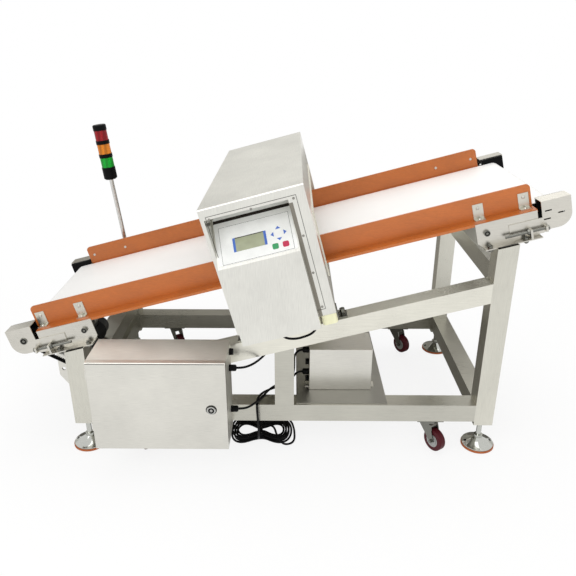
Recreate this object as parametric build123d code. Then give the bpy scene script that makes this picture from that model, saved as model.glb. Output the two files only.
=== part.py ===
from build123d import *
import math
import os

# Conveyor metal detector on a welded stainless frame.  Millimetres.
# Machine frame while building: x uphill along the belt, y from the front legs
# to the back, z up from the floor.  Everything is centred on the floor at the end.

# Frame
tube = 60.0
tube_wall = 2.0
leg_left_x = -702.0
leg_right_x = 644.0
leg_bottom_z = 96.0
rail_bottom_z = 110.0
post_left_x = -55.0
left_beam_drop = 92.5
right_beam_drop = 56.1
leg_plate = 8.0
tray_right_x = 303.0
tray_thickness = 2.0
tray_lip = 14.0
tray_margin = 8.0

# Conveyor line: u along the slope, v square to it, both from x = 0
incline = 14.75
line_z = 650.0
rail_top_v = -209.0
axis_v = -51.0
drive_u = -878.0
idler_u = 755.0
roller_r = 21.0
shaft_r = 10.0
belt_thickness = 2.0
belt_width = 540.0
belt_side_room = 91.0
drum_proud = 1.0
run_gap = 0.3
fit_gap = 0.05
return_r = 16.0
return_shaft_r = 6.0
return_left_u = -680.0
return_right_u = 559.0
return_v = -62.0

# Bed, guards and side plates
plate_y = 35.0
plate_thickness = 3.0
plate_top_v = -31.0
plate_bottom_v = -104.0
plate_length = 180.0
plate_left_u = -829.0
plate_right_u = 706.0
plate_flange = 25.0
plate_chamfer = 14.0
bed_thickness = 8.0
bed_left_u = -830.0
bed_right_u = 708.0
bed_shelf_width = 42.0
bed_shelf_inset = 40.0
guard_left_gap = 1.0
guard_right_gap = 11.0
guard_height = 68.0
guard_thickness = 6.0
guard_belt_gap = 9.0
guard_round = 12.0
bracket_width = 30.0
bracket_height = 46.0
bracket_foot = 20.0
bracket_sheet = 2.5
bracket_inset = 23.0
bracket_pitch = 130.0

# End housings, measured from the roller axis
housing_y = 32.0
housing_skin = 2.0
nose_reach = 45.0
neck_reach = 38.0
housing_rise = 43.0
housing_mouth = 12.0
nose_round = 40.0
arm_reach = 133.0
arm_top = -4.0
arm_bottom = -50.0
bearing_thickness = 10.0
bearing_inset = 3.0
slot_length = 20.0
slot_height = 4.0
slot_spots = ((-20, 13), (15, 0), (-25, -11))

# Adjusting screws between the end housings and the side plates' flanges
adjuster_r = 4.0
adjuster_length = 118.0
adjuster_rise = 20.0
adjuster_head = 6.0
adjuster_hex_r = 8.0
lug_sheet = 6.0
lug_reach = 22.0
lug_rise = 8.0
stop_inset = 26.0

# Timing drive
pulley_teeth = 28
motor_teeth = 33
tooth_pitch_r = 1.0
pulley_width = 16.0
pulley_gap = 2.0
tooth_height = 2.5
belt_back = 2.5
motor_inset = 12.0
motor_lift = 40.0
motor_r = 36.0
motor_length = 212.0
motor_shaft_r = 8.0
mount_thickness = 6.0

# Detector head
head_left_u = -201.0
head_right_u = 90.0
head_top_v = 238.0
head_bottom_v = -146.0
head_overhang = 83.0
aperture_inset = 30.0
aperture_bottom_v = -75.0
aperture_top_v = 128.0
liner_thickness = 8.0
liner_proud = 4.0
cover_left_u = -190.0
cover_right_u = 40.0
cover_front = 27.0
cover_bottom_v = -169.0
crease_v = 70.0
panel_top_v = 186.7
panel_set_back = 98.0
pocket_top_v = 206.0
cover_gap = 0.5
pad_width = 46.0
pad_front = 15.0
pad_round = 12.0
clamp_sheet = 4.0

# Operator panel, measured on the slanted face from the middle of its crease
overlay_width = 222.0
overlay_height = 156.0
overlay_rise = 87.0
overlay_thickness = 1.6
display_width = 95.0
display_height = 44.0
display_a = -16.0
display_b = 64.0
push_key = 17.0
arrow_key = 15.0
key_proud = 1.2
key_depth = 4.0
key_travel = 0.6
arrows_a = 66.0
arrows_b = 67.0
arrow_pitch = 17.0
push_a = 66.0
push_b = 30.0
push_pitch = 29.0

# Signal tower
tower_r = 25.0
tower_pole_r = 7.5
tower_lean = 6.5
tower_u = -712.6
tower_v = -79.2
tower_pole_length = 348.0
tower_inset = 22.0
tower_base = 47.0
lens_height = 37.0
ring_height = 14.0
cap_height = 21.0

# Control box
box_left_x = -590.0
box_width = 400.0
box_height = 295.0
box_depth = 127.0
box_sheet = 2.0
box_rim = 14.0
door_depth = 18.0
door_gap = 0.5
hinge_r = 4.5
hinge_pin_r = 2.5
hinge_length = 22.0
lock_r = 13.0
lock_inset = 46.0
lock_height = 140.0
box_bottom_z = 108.0
cam_length = 34.0

# Drive box on the shelf
drive_left_x = 55.0
drive_width = 204.0
drive_height = 150.0
drive_y = 87.0
drive_depth = 120.0
drive_lid = 10.0

# Feet and castors
foot_r = 53.0
foot_height = 34.0
foot_rubber = 8.0
stem_r = 8.0
stem_in_leg = 70.0
castor_left_x = -500.0
castor_right_x = 445.0
castor_plate = 3.0
castor_wheel_r = 37.0
castor_wheel_width = 25.0
castor_trail = 34.0
castor_turn = 34.0
castor_lift = 3.0
castor_axle_r = 5.0
fork_sheet = 3.0
race_r = 26.0
race_height = 12.0

# Cables
cable_r = 3.5
cord_r = 3.5
gland_r = 10.0
gland_length = 22.0

rail_top_z = rail_bottom_z + tube
frame_depth = belt_width + 2 * belt_side_room
mid_y = frame_depth / 2
belt_y0 = belt_side_room
belt_y1 = belt_side_room + belt_width
drum_y0 = belt_y0 - drum_proud
drum_y1 = belt_y1 + drum_proud
bearing_y0 = drum_y0 - bearing_thickness
housing_depth = bearing_y0 - housing_y
pulley_y = bearing_y0 - pulley_gap - pulley_width
mount_y = drum_y0
guard_y = belt_y0 - guard_belt_gap - guard_thickness
screw_y = housing_y - lug_reach / 2
screw_v = plate_bottom_v + adjuster_rise
guard_left_u = drive_u + neck_reach + guard_left_gap
guard_right_u = idler_u - neck_reach - guard_right_gap
belt_inner_v = axis_v + roller_r + run_gap
slope = Pos(0, 0, line_z) * Rot(0, -incline, 0)
mirror_plane = Plane(origin=(0, mid_y, 0), x_dir=(1, 0, 0), z_dir=(0, 1, 0))
nodes = {}


def block(x0, x1, y0, y1, z0, z1):
    """A box between two corners."""
    return Pos((x0 + x1) / 2, (y0 + y1) / 2, (z0 + z1) / 2) * Box(x1 - x0, y1 - y0, z1 - z0)


def slab(sketch, y0, y1):
    """An outline drawn in x and z, given thickness from y0 to y1."""
    return Pos(0, y1, 0) * extrude(Plane.XZ * sketch, y1 - y0, dir=(0, -1, 0))


def ribbon(sketch, x0, x1):
    """An outline drawn in y and z, given length from x0 to x1."""
    return Pos(x0, 0, 0) * extrude(Plane.YZ * sketch, x1 - x0, dir=(1, 0, 0))


def rod_x(x0, x1, y, z, radius):
    return Pos((x0 + x1) / 2, y, z) * Rot(0, 90, 0) * Cylinder(radius, x1 - x0)


def rod_y(x, y0, y1, z, radius):
    return Pos(x, (y0 + y1) / 2, z) * Rot(90, 0, 0) * Cylinder(radius, y1 - y0)


def rod_z(x, y, z0, z1, radius):
    return Pos(x, y, (z0 + z1) / 2) * Cylinder(radius, z1 - z0)


def hex_z(x, y, z0, z1, radius):
    return Pos(x, y, z0) * extrude(RegularPolygon(radius, 6), z1 - z0)


def outline(*points):
    return Polygon(*points, align=None)


def both(shape):
    """The front piece and its twin at the back."""
    return [shape, shape.mirror(mirror_plane)]


def tube_x(x0, x1, y0, z0):
    skin = tube_wall
    return block(x0, x1, y0, y0 + tube, z0, z0 + tube) - block(
        x0, x1, y0 + skin, y0 + tube - skin, z0 + skin, z0 + tube - skin)


def tube_y(x0, y0, y1, z0):
    skin = tube_wall
    return block(x0, x0 + tube, y0, y1, z0, z0 + tube) - block(
        x0 + skin, x0 + tube - skin, y0, y1, z0 + skin, z0 + tube - skin)


def tube_z(x0, y0, z0, z1):
    skin = tube_wall
    return block(x0, x0 + tube, y0, y0 + tube, z0, z1) - block(
        x0 + skin, x0 + tube - skin, y0 + skin, y0 + tube - skin, z0, z1)


def above_line(v):
    """Everything above a line at height v over the conveyor's slope."""
    reach = 3 * (leg_right_x - leg_left_x)
    return slope * block(-reach, reach, -frame_depth, 2 * frame_depth, v, v + reach)


# Welded frame
leg_top_v = plate_bottom_v - plate_thickness
leg_x = (leg_left_x, leg_right_x - tube)
leg_room = line_z + (leg_right_x - leg_left_x)


def leg_top_z(x):
    """Height of the slanted leg tops at a place along the machine."""
    turn = math.radians(incline)
    return line_z + x * math.tan(turn) + leg_top_v / math.cos(turn)


left_beam_z = leg_top_z(leg_x[0]) - left_beam_drop - tube
right_beam_z = leg_top_z(leg_x[1]) - right_beam_drop - tube


def leg(x0):
    post = tube_z(x0, 0, leg_bottom_z, leg_room)
    foot_plate = block(x0 + tube_wall, x0 + tube - tube_wall, tube_wall, tube - tube_wall,
                       leg_bottom_z, leg_bottom_z + leg_plate)
    thread = rod_z(x0 + tube / 2, tube / 2, leg_bottom_z - 1, leg_bottom_z + leg_plate + 1,
                   stem_r + fit_gap)
    return post + foot_plate - thread - above_line(leg_top_v)


nodes["legs"] = both(leg(leg_x[0])) + both(leg(leg_x[1]))

rail_x0 = leg_left_x + tube
rail_x1 = leg_right_x - tube
beam_y1 = frame_depth - tube
beams = [(leg_x[0], rail_bottom_z), (leg_x[0], left_beam_z),
         (leg_x[1], rail_bottom_z), (leg_x[1], right_beam_z)]
cross_beams = [tube_y(x, tube, beam_y1, z) for x, z in beams]
nodes["base_rails"] = both(tube_x(rail_x0, rail_x1, 0, rail_bottom_z)) + cross_beams

rail_reach = 2 * (leg_right_x - leg_left_x)
rail_span = block(rail_x0, rail_x1, 0, tube, 0, leg_room)
slanted = slope * tube_x(-rail_reach, rail_reach, 0, rail_top_v - tube)
nodes["inclined_rails"] = both(slanted & rail_span)

mid_post = tube_z(post_left_x, 0, rail_top_z, line_z) - above_line(rail_top_v - tube)
nodes["base_rails"] += both(mid_post)

tray_x0 = post_left_x + tube + tray_margin
tray = block(tray_x0, tray_right_x, tray_margin, frame_depth - tray_margin,
             rail_top_z, rail_top_z + tray_thickness)
lip_y = (tube + tray_margin, frame_depth - tube - tray_margin)
for lip_x in (tray_x0, tray_right_x - tray_thickness):
    tray += block(lip_x, lip_x + tray_thickness, lip_y[0], lip_y[1],
                  rail_top_z - tray_lip, rail_top_z)
nodes["shelf_tray"] = [tray]

# Levelling feet: chromed bell, rubber ring and threaded stem
foot_spots = {
    "fl": (leg_left_x + tube / 2, tube / 2),
    "fr": (leg_right_x - tube / 2, tube / 2),
    "rl": (leg_left_x + tube / 2, frame_depth - tube / 2),
    "rr": (leg_right_x - tube / 2, frame_depth - tube / 2),
}
collar_r = stem_r + 6
collar_height = 8.0
bell_lip = 4.0
nut_height = 12.0
nut_r = 15.0


def foot_profile():
    """Half section of the bell and stem, radius against height."""
    rim = foot_r - 2
    lip_z = foot_rubber + bell_lip
    stem_top = leg_bottom_z + stem_in_leg
    start = (0, foot_rubber)
    edge = Polyline(start, (rim, foot_rubber), (rim, lip_z))
    flare = 0.4
    middle = (collar_r + 0.5 * (rim - collar_r), lip_z + flare * (foot_height - lip_z))
    dome = ThreePointArc((rim, lip_z), middle, (collar_r, foot_height))
    neck = Polyline((collar_r, foot_height), (collar_r, foot_height + collar_height),
                    (stem_r, foot_height + collar_height), (stem_r, stem_top), (0, stem_top), start)
    return make_face([edge, dome, neck])


def foot(x, y):
    bell = revolve(Plane.XZ * foot_profile(), Axis.Z)
    ring = Pos(0, 0, foot_rubber / 2) * Cylinder(foot_r, foot_rubber)
    ring = chamfer(ring.edges().group_by(Axis.Z)[0], 2.0)
    return [Pos(x, y, 0) * bell, Pos(x, y, 0) * ring]


fasteners = []
for spot, (x, y) in foot_spots.items():
    nodes["foot_" + spot] = foot(x, y)
    nut = hex_z(x, y, leg_bottom_z - nut_height, leg_bottom_z, nut_r)
    fasteners.append(nut - rod_z(x, y, 0, leg_bottom_z + 1, stem_r + fit_gap))

# Swivel castors, wheels just clear of the floor while the feet carry the load
castor_spots = {
    "fl": (castor_left_x, tube / 2),
    "fr": (castor_right_x, tube / 2),
    "rl": (castor_left_x, frame_depth - tube / 2),
    "rr": (castor_right_x, frame_depth - tube / 2),
}
castor_plate_length = 84.0
king_pin_r = 6.0
wheel_z = castor_lift + castor_wheel_r
plate_under = rail_bottom_z - castor_plate
race_bottom = plate_under - race_height
fork_half = castor_wheel_width / 2 + 2.0
hub_r = 17.0
tread_depth = 11.0
castor_plates = []


def castor_fork(x, y):
    """Race ring and two bent cheeks that carry the axle."""
    race = rod_z(0, 0, race_bottom, plate_under - run_gap, race_r)
    race -= rod_z(0, 0, race_bottom - 1, plate_under, king_pin_r + fit_gap)
    crown = block(-fork_half - fork_sheet, fork_half + fork_sheet, -race_r, race_r,
                  race_bottom - fork_sheet, race_bottom)
    crown -= rod_z(0, 0, race_bottom - 4 * fork_sheet, race_bottom + 1, king_pin_r + 2)
    cheek_side = outline((-castor_trail - 2 * castor_axle_r, wheel_z),
                         (-castor_trail, wheel_z - 2 * castor_axle_r),
                         (-castor_trail + 2 * castor_axle_r, wheel_z),
                         (race_r, race_bottom - 8), (race_r, race_bottom), (-race_r, race_bottom))
    cheek = ribbon(cheek_side, fork_half, fork_half + fork_sheet)
    other = ribbon(cheek_side, -fork_half - fork_sheet, -fork_half)
    axle = rod_x(-fork_half - 3 * fork_sheet, fork_half + 3 * fork_sheet, -castor_trail, wheel_z,
                 castor_axle_r)
    return Pos(x, y, 0) * Rot(0, 0, castor_turn) * (race + crown + cheek + other + axle)


def castor_wheel(x, y):
    """Steel-grey hub with a moulded tread pressed on it."""
    half = castor_wheel_width / 2
    hub = rod_x(-half - 1, half + 1, 0, 0, hub_r) + rod_x(-half + 3, half - 3, 0, 0,
                                                        castor_wheel_r - tread_depth)
    tread = rod_x(-half, half, 0, 0, castor_wheel_r)
    tread = fillet(tread.edges().filter_by(GeomType.CIRCLE), 4.0)
    tread -= rod_x(-half - 2, half + 2, 0, 0, hub_r)
    tread -= rod_x(-half + 3, half - 3, 0, 0, castor_wheel_r - tread_depth)
    bore = rod_x(-half - 2, half + 2, 0, 0, castor_axle_r + fit_gap)
    place = Pos(x, y, 0) * Rot(0, 0, castor_turn) * Pos(0, -castor_trail, wheel_z)
    return [place * (hub - bore), place * tread]


for spot, (x, y) in castor_spots.items():
    plate = block(x - castor_plate_length / 2, x + castor_plate_length / 2, y - tube / 2,
                  y + tube / 2, plate_under, rail_bottom_z)
    castor_plates.append(plate + rod_z(x, y, race_bottom - fork_sheet, plate_under, king_pin_r))
    nodes["castor_fork_" + spot] = [castor_fork(x, y)]
    nodes["castor_wheel_" + spot] = castor_wheel(x, y)
nodes["castor_plates"] = castor_plates

# Side plates on the leg tops, with a flange for the bolts and one for the bed
left_plate_end = plate_left_u + plate_length
right_plate_start = plate_right_u - plate_length + 4
bed_top_v = belt_inner_v
bed_under_v = bed_top_v - bed_thickness
plate_inner_y = plate_y + plate_thickness


def side_plate(u0, u1, chamfer_u, shelf_u0, shelf_u1, roller_u):
    drop = plate_bottom_v
    step = plate_chamfer if chamfer_u == u0 else -plate_chamfer
    far = u1 if chamfer_u == u0 else u0
    web_side = outline((far, plate_top_v), (chamfer_u, plate_top_v), (chamfer_u, drop + plate_chamfer),
                       (chamfer_u + step, drop), (far, drop))
    web = slab(web_side, plate_y, plate_inner_y)
    foot_u = sorted((chamfer_u + step, far))
    web += block(foot_u[0], foot_u[1], plate_y - plate_flange, tube, drop - plate_thickness, drop)
    web += block(shelf_u0, shelf_u1, plate_y, plate_inner_y + bed_shelf_width,
                 bed_under_v - plate_thickness, bed_under_v)
    stop_u = u0 + stop_inset if chamfer_u == u1 else u1 - stop_inset - lug_sheet
    stop = block(stop_u, stop_u + lug_sheet, housing_y - lug_reach, housing_y - 1, drop, screw_v + lug_rise)
    web += stop - rod_x(stop_u - 1, stop_u + lug_sheet + 1, screw_y, screw_v, adjuster_r + fit_gap)
    return web - rod_y(roller_u, 0, tube, return_v, return_shaft_r + fit_gap)


left_plate = side_plate(plate_left_u, left_plate_end, left_plate_end,
                        plate_left_u + bed_shelf_inset, left_plate_end, return_left_u)
right_plate = side_plate(right_plate_start, plate_right_u, right_plate_start,
                         right_plate_start, plate_right_u - bed_shelf_inset, return_right_u)
nodes["side_plates"] = [slope * part for part in both(left_plate) + both(right_plate)]

# Phenolic bed and guards
bed = block(bed_left_u, bed_right_u, plate_inner_y, frame_depth - plate_inner_y,
            bed_under_v, bed_top_v)
nodes["slider_bed"] = [slope * bed]

guard_side = outline((guard_left_u, bed_top_v), (guard_right_u, bed_top_v),
                     (guard_right_u, bed_top_v + guard_height), (guard_left_u, bed_top_v + guard_height))
guard_side = fillet(guard_side.vertices().group_by(Axis.Y)[-1], guard_round)
guard = slab(guard_side, guard_y, guard_y + guard_thickness)
nodes["side_guards"] = [slope * part for part in both(guard)]


def guard_bracket(u):
    foot_y = guard_y - bracket_foot
    upright = block(u, u + bracket_width, guard_y - bracket_sheet, guard_y,
                    bed_top_v, bed_top_v + bracket_height)
    ledge = block(u, u + bracket_width, foot_y, guard_y, bed_top_v, bed_top_v + bracket_sheet)
    return upright + ledge


bracket_spots = (guard_left_u + bracket_inset, guard_left_u + bracket_inset + bracket_pitch,
                 guard_right_u - bracket_inset - bracket_pitch, guard_right_u - bracket_inset)
brackets = []
for spot in bracket_spots:
    brackets += both(guard_bracket(spot - bracket_width / 2))
nodes["guard_brackets"] = [slope * part for part in brackets]

# Belt: top run on the bed, round both end rollers, return run lifted by two rollers
return_outer_v = return_v + return_r + run_gap


def tangent_under(axis_u, radius, u, v):
    """Where a line from (u, v) touches the underside of an end roller."""
    du, dv = u - axis_u, v - axis_v
    turn = math.acos(radius / math.hypot(du, dv))
    angle = math.atan2(dv, du) + (-turn if du > 0 else turn)
    return axis_u + radius * math.cos(angle), axis_v + radius * math.sin(angle)


def belt_loop(radius, low_v):
    """Outline of the belt at one radius over the end rollers."""
    top = axis_v + radius
    left_low = tangent_under(drive_u, radius, return_left_u, low_v)
    right_low = tangent_under(idler_u, radius, return_right_u, low_v)
    runs = [Line((drive_u, top), (idler_u, top)),
            ThreePointArc((idler_u, top), (idler_u + radius, axis_v), right_low),
            Polyline(right_low, (return_right_u, low_v), (return_left_u, low_v), left_low),
            ThreePointArc(left_low, (drive_u - radius, axis_v), (drive_u, top))]
    return make_face(runs)


inner_r = roller_r + run_gap
belt_face = (belt_loop(inner_r + belt_thickness, return_outer_v)
             - belt_loop(inner_r, return_outer_v + belt_thickness))
nodes["conveyor_belt"] = [slope * slab(belt_face, belt_y0, belt_y1)]

# Rollers
shaft_y0 = housing_y + plate_thickness + 2
shaft_y1 = frame_depth - shaft_y0


def roller(u, v, radius, journal, y0, y1):
    return rod_y(u, drum_y0, drum_y1, v, radius) + rod_y(u, y0, y1, v, journal)


def pulley(x, z, teeth, bore):
    """Grooved timing pulley whose tooth tips clear the belt's root line."""
    tip = teeth * tooth_pitch_r - run_gap
    wheel = Circle(tip)
    groove = Pos(tip, 0) * Rectangle(2 * tooth_height, 0.5 * 2 * math.pi * tip / teeth)
    wheel -= PolarLocations(0, teeth) * groove
    wheel -= Circle(bore)
    return Pos(x, 0, z) * slab(wheel, pulley_y, pulley_y + pulley_width)


drive = roller(drive_u, axis_v, roller_r, shaft_r, shaft_y0, shaft_y1)
drive_x = (slope * Pos(drive_u, 0, axis_v)).position.X
drive_z = (slope * Pos(drive_u, 0, axis_v)).position.Z
drive_pulley = pulley(drive_x, drive_z, pulley_teeth, shaft_r)
nodes["drive_roller"] = [slope * drive, drive_pulley]
nodes["idler_roller"] = [slope * roller(idler_u, axis_v, roller_r, shaft_r, shaft_y0, shaft_y1)]
return_y1 = frame_depth - plate_y
for name, u in (("return_roller_left", return_left_u), ("return_roller_right", return_right_u)):
    nodes[name] = [slope * roller(u, return_v, return_r, return_shaft_r, plate_y, return_y1)]


# End housings: a nose shell with an arm plate that slides on the side plate
def nose(axis_u, out, inset):
    """Outline of the housing's nose; out is -1 at the lower end, +1 at the upper."""
    tip = axis_u + out * (nose_reach - inset)
    neck = axis_u - out * (neck_reach - inset)
    top = axis_v + housing_rise - inset
    low = axis_v - housing_rise + inset
    shape = outline((neck, top), (tip, top), (tip, low), (neck, low))
    corners = shape.vertices().group_by(Axis.Y)[0].sort_by(Axis.X)
    corner = corners[0] if out < 0 else corners[-1]
    return fillet(corner, nose_round - inset)


def end_housing(axis_u, out):
    neck = axis_u - out * neck_reach
    arm_end = axis_u - out * arm_reach
    cut = out * plate_chamfer
    arm = outline((neck + out * neck_reach, axis_v + arm_top), (arm_end, axis_v + arm_top),
                  (arm_end, axis_v + arm_bottom + plate_chamfer), (arm_end + cut, axis_v + arm_bottom),
                  (neck, axis_v + arm_bottom), (neck + out * neck_reach / 2, axis_v - housing_rise))
    face = slab(nose(axis_u, out, 0) + arm, housing_y, plate_y)
    rim = slab(nose(axis_u, out, 0) - nose(axis_u, out, housing_skin), plate_y,
               housing_y + housing_depth)
    side = sorted((neck - out, axis_u + out * housing_mouth))
    rim -= block(side[0], side[1], plate_y, housing_y + housing_depth,
                 axis_v - 2 * housing_rise, axis_v + housing_rise - housing_skin)
    if out > 0:
        for du, dv in slot_spots:
            face -= slab(Pos(axis_u + du, axis_v + dv) * SlotOverall(slot_length, slot_height),
                         housing_y - 1, plate_y + 1)
    lug_u = sorted((neck, neck + out * lug_sheet))
    lug = block(lug_u[0], lug_u[1], housing_y - lug_reach, housing_y, screw_v - lug_rise, screw_v + lug_rise)
    lug -= rod_x(lug_u[0] - 1, lug_u[1] + 1, screw_y, screw_v, adjuster_r + fit_gap)
    return face + rim + lug


def bearing_plate(axis_u, out):
    body = slab(nose(axis_u, out, bearing_inset), bearing_y0, drum_y0)
    return body - rod_y(axis_u, bearing_y0 - 1, drum_y0 + 1, axis_v, shaft_r + fit_gap)


housings = []
bearings = []
for axis_u, out in ((drive_u, -1), (idler_u, 1)):
    housings += both(end_housing(axis_u, out))
    bearings += both(bearing_plate(axis_u, out))
nodes["end_housings"] = [slope * part for part in housings]
nodes["bearing_plates"] = [slope * part for part in bearings]

# Bolts of the side plates and end screws of the shafts
bolt_r = 4.0
bolt_head_r = 8.0
bolt_head = 6.0
bolt_y = plate_y - plate_flange / 2
screw_head_r = 11.0
screw_head = 2.5
cap_r = 9.0


def flange_bolt(u):
    """Bolt through the plate's flange with its nut below."""
    top = plate_bottom_v
    under = top - plate_thickness
    stud = rod_z(u, bolt_y, under - bolt_head - 3, top + bolt_head + 4, bolt_r)
    return (stud + hex_z(u, bolt_y, top, top + bolt_head, bolt_head_r)
            + hex_z(u, bolt_y, under - bolt_head, under, bolt_head_r))


def adjuster(axis_u, out):
    """Screw from the housing's lug to past the flange's stop, with its head and a lock nut."""
    seat = axis_u - out * neck_reach + out * lug_sheet
    run_u = sorted((seat, seat - out * adjuster_length))
    screw = rod_x(run_u[0], run_u[1], screw_y, screw_v, adjuster_r)
    stop_u = plate_left_u + stop_inset + lug_sheet if out < 0 else plate_right_u - stop_inset - lug_sheet
    for u in (seat, stop_u):
        hex_u = min(u, u + (out if u == seat else -out) * adjuster_head)
        screw += Pos(hex_u, screw_y, screw_v) * Rot(0, 90, 0) * extrude(RegularPolygon(adjuster_hex_r, 6),
                                                                        adjuster_head)
    return screw


flange_holes = []
plate_bolts = (left_plate_end - 1.6 * plate_chamfer - bolt_head_r, drive_u + arm_reach - 30,
               right_plate_start + 1.6 * plate_chamfer + bolt_head_r, idler_u - arm_reach + 40)
conveyor_bolts = []
for u in plate_bolts:
    conveyor_bolts += both(flange_bolt(u))
    flange_holes += both(rod_z(u, bolt_y, leg_top_v - 1, plate_bottom_v + 1, bolt_r))
conveyor_bolts += both(rod_y(drive_u, housing_y - screw_head, housing_y, axis_v, screw_head_r))
for axis_u, out in ((drive_u, -1), (idler_u, 1)):
    conveyor_bolts += both(adjuster(axis_u, out))
for u in (return_left_u, return_right_u):
    conveyor_bolts += both(rod_y(u, plate_y - 3 * screw_head, plate_y, return_v, cap_r))
fasteners += [slope * part for part in conveyor_bolts]
flange_cut = [slope * part for part in flange_holes]
nodes["side_plates"] = [plate - flange_cut for plate in nodes["side_plates"]]


# Timing belt and gear motor
beam_top = left_beam_z + tube
motor_x = leg_left_x + motor_inset
motor_z = beam_top + motor_lift


def loop_round(extra):
    """Outline round both pulleys at a height over their tooth tips."""
    ends = [Pos(drive_x, drive_z) * Circle(pulley_teeth * tooth_pitch_r + extra),
            Pos(motor_x, motor_z) * Circle(motor_teeth * tooth_pitch_r + extra)]
    return make_hull(ends[0].edges() + ends[1].edges())


def belt_teeth():
    """Teeth along the two straight runs, on the inner side."""
    r0 = pulley_teeth * tooth_pitch_r
    r1 = motor_teeth * tooth_pitch_r
    du, dz = motor_x - drive_x, motor_z - drive_z
    span = math.hypot(du, dz)
    heading = math.atan2(dz, du)
    lean = math.asin((r1 - r0) / span)
    length = math.sqrt(span ** 2 - (r1 - r0) ** 2)
    pitch = 2 * math.pi * tooth_pitch_r
    teeth = []
    for side in (1, -1):
        run = heading + side * lean
        normal = run + side * math.pi / 2
        start = Vector(drive_x + r0 * math.cos(normal), drive_z + r0 * math.sin(normal))
        for k in range(1, int(length / pitch)):
            at = start + Vector(math.cos(run), math.sin(run)) * (k * pitch)
            at += Vector(math.cos(normal), math.sin(normal)) * (tooth_height / 2 + 0.2)
            teeth.append(Pos(at.X, at.Y) * Rot(0, 0, math.degrees(run))
                         * Rectangle(pitch / 2, tooth_height + 0.4))
    return teeth


band = loop_round(tooth_height + belt_back) - loop_round(tooth_height) + belt_teeth()
nodes["timing_belt"] = [slab(band, pulley_y, pulley_y + pulley_width)]

motor_face = mount_y + mount_thickness
gear_length = 0.36 * motor_length
motor_shaft_in = 14.0
motor_pulley = pulley(motor_x, motor_z, motor_teeth, motor_shaft_r)
motor_pulley += rod_y(motor_x, pulley_y, motor_face + motor_shaft_in, motor_z, motor_shaft_r)
nodes["motor_pulley"] = [motor_pulley]

gear_case = block(motor_x - motor_r, motor_x + motor_r, motor_face, motor_face + gear_length,
                  beam_top, motor_z + motor_r)
gear_case = fillet(gear_case.edges().filter_by(Axis.Y), motor_r / 6)
stator = rod_y(motor_x, motor_face + gear_length, motor_face + motor_length, motor_z, motor_r - 1)
stator = fillet(stator.edges().sort_by(Axis.Y)[-1], motor_r / 5)
fins = [rod_y(motor_x, motor_face + gear_length + 14 + 9 * k, motor_face + gear_length + 17 + 9 * k,
              motor_z, motor_r + 2) for k in range(9)]
cable_box = block(motor_x - motor_r / 2, motor_x + motor_r / 2, motor_face + gear_length + 10,
                  motor_face + gear_length + 70, motor_z, motor_z + motor_r + 12)
gear_motor = gear_case + stator + fins + cable_box
gear_motor -= rod_y(motor_x, motor_face - 1, motor_face + motor_shaft_in + 2, motor_z,
                    motor_shaft_r + fit_gap)
nodes["gear_motor"] = [gear_motor]

mount_left = motor_x - 2.1 * motor_r
mount_right = motor_x + motor_r + 3
mount_top = motor_z + motor_r + 6
mount_side = outline((mount_left, mount_top), (mount_right, mount_top), (mount_right, beam_top),
                     (leg_left_x, beam_top), (leg_left_x, left_beam_z - 12),
                     (leg_left_x - 40, left_beam_z - 12), (mount_left, left_beam_z + 22))
mount = slab(mount_side, mount_y, motor_face)
mount -= rod_y(motor_x, mount_y - 1, motor_face + 1, motor_z, motor_shaft_r + 4)
mount -= rod_y(mount_left + 16, mount_y - 1, motor_face + 1, left_beam_z + 44, 6)
nodes["motor_mount"] = [mount]

# Detector head round the conveyor
head_y0 = -head_overhang
head_y1 = frame_depth + head_overhang
cover_y = head_y0 - cover_front
panel_y = head_y0 + panel_set_back
shell = block(head_left_u, head_right_u, head_y0, head_y1, head_bottom_v, head_top_v)
shell = fillet(shell.edges().filter_by(Axis.X), 4.0)
opening_y0 = aperture_inset
opening_y1 = frame_depth - aperture_inset
shell -= block(head_left_u - 1, head_right_u + 1, opening_y0, opening_y1,
               aperture_bottom_v, aperture_top_v)
pocket_low_v = crease_v - 10
shell -= block(cover_left_u - cover_gap, cover_right_u + cover_gap, head_y0 - 1, panel_y + cover_gap,
               pocket_low_v - cover_gap, pocket_top_v)
nodes["head_shell"] = [slope * shell]

liner = block(head_left_u - liner_proud, head_right_u + liner_proud, opening_y0, opening_y1,
              aperture_bottom_v, aperture_top_v)
liner -= block(head_left_u - 2 * liner_proud, head_right_u + 2 * liner_proud,
               opening_y0 + liner_thickness, opening_y1 - liner_thickness,
               aperture_bottom_v + liner_thickness, aperture_top_v - liner_thickness)
nodes["aperture_liner"] = [slope * liner]

cover_side = outline((head_y0, cover_bottom_v), (cover_y, cover_bottom_v), (cover_y, crease_v),
                     (panel_y, panel_top_v), (panel_y, pocket_low_v), (head_y0, pocket_low_v))
cover = ribbon(cover_side, cover_left_u, cover_right_u)
cover_mid_u = (cover_left_u + cover_right_u) / 2
panel_plane = Plane(origin=(cover_mid_u, cover_y, crease_v), x_dir=(1, 0, 0),
                    z_dir=(0, crease_v - panel_top_v, panel_y - cover_y))
panel = panel_plane.location

overlay = Pos(0, overlay_rise, overlay_thickness / 2) * Box(overlay_width, overlay_height,
                                                          overlay_thickness)
overlay = fillet(overlay.edges().filter_by(Axis.Z), 6.0)
window = Pos(display_a, display_b, 0) * Box(display_width, display_height, 4 * overlay_thickness)
overlay -= window
display = Pos(display_a, display_b, overlay_thickness / 2) * Box(
    display_width - run_gap, display_height - run_gap, overlay_thickness)

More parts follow.
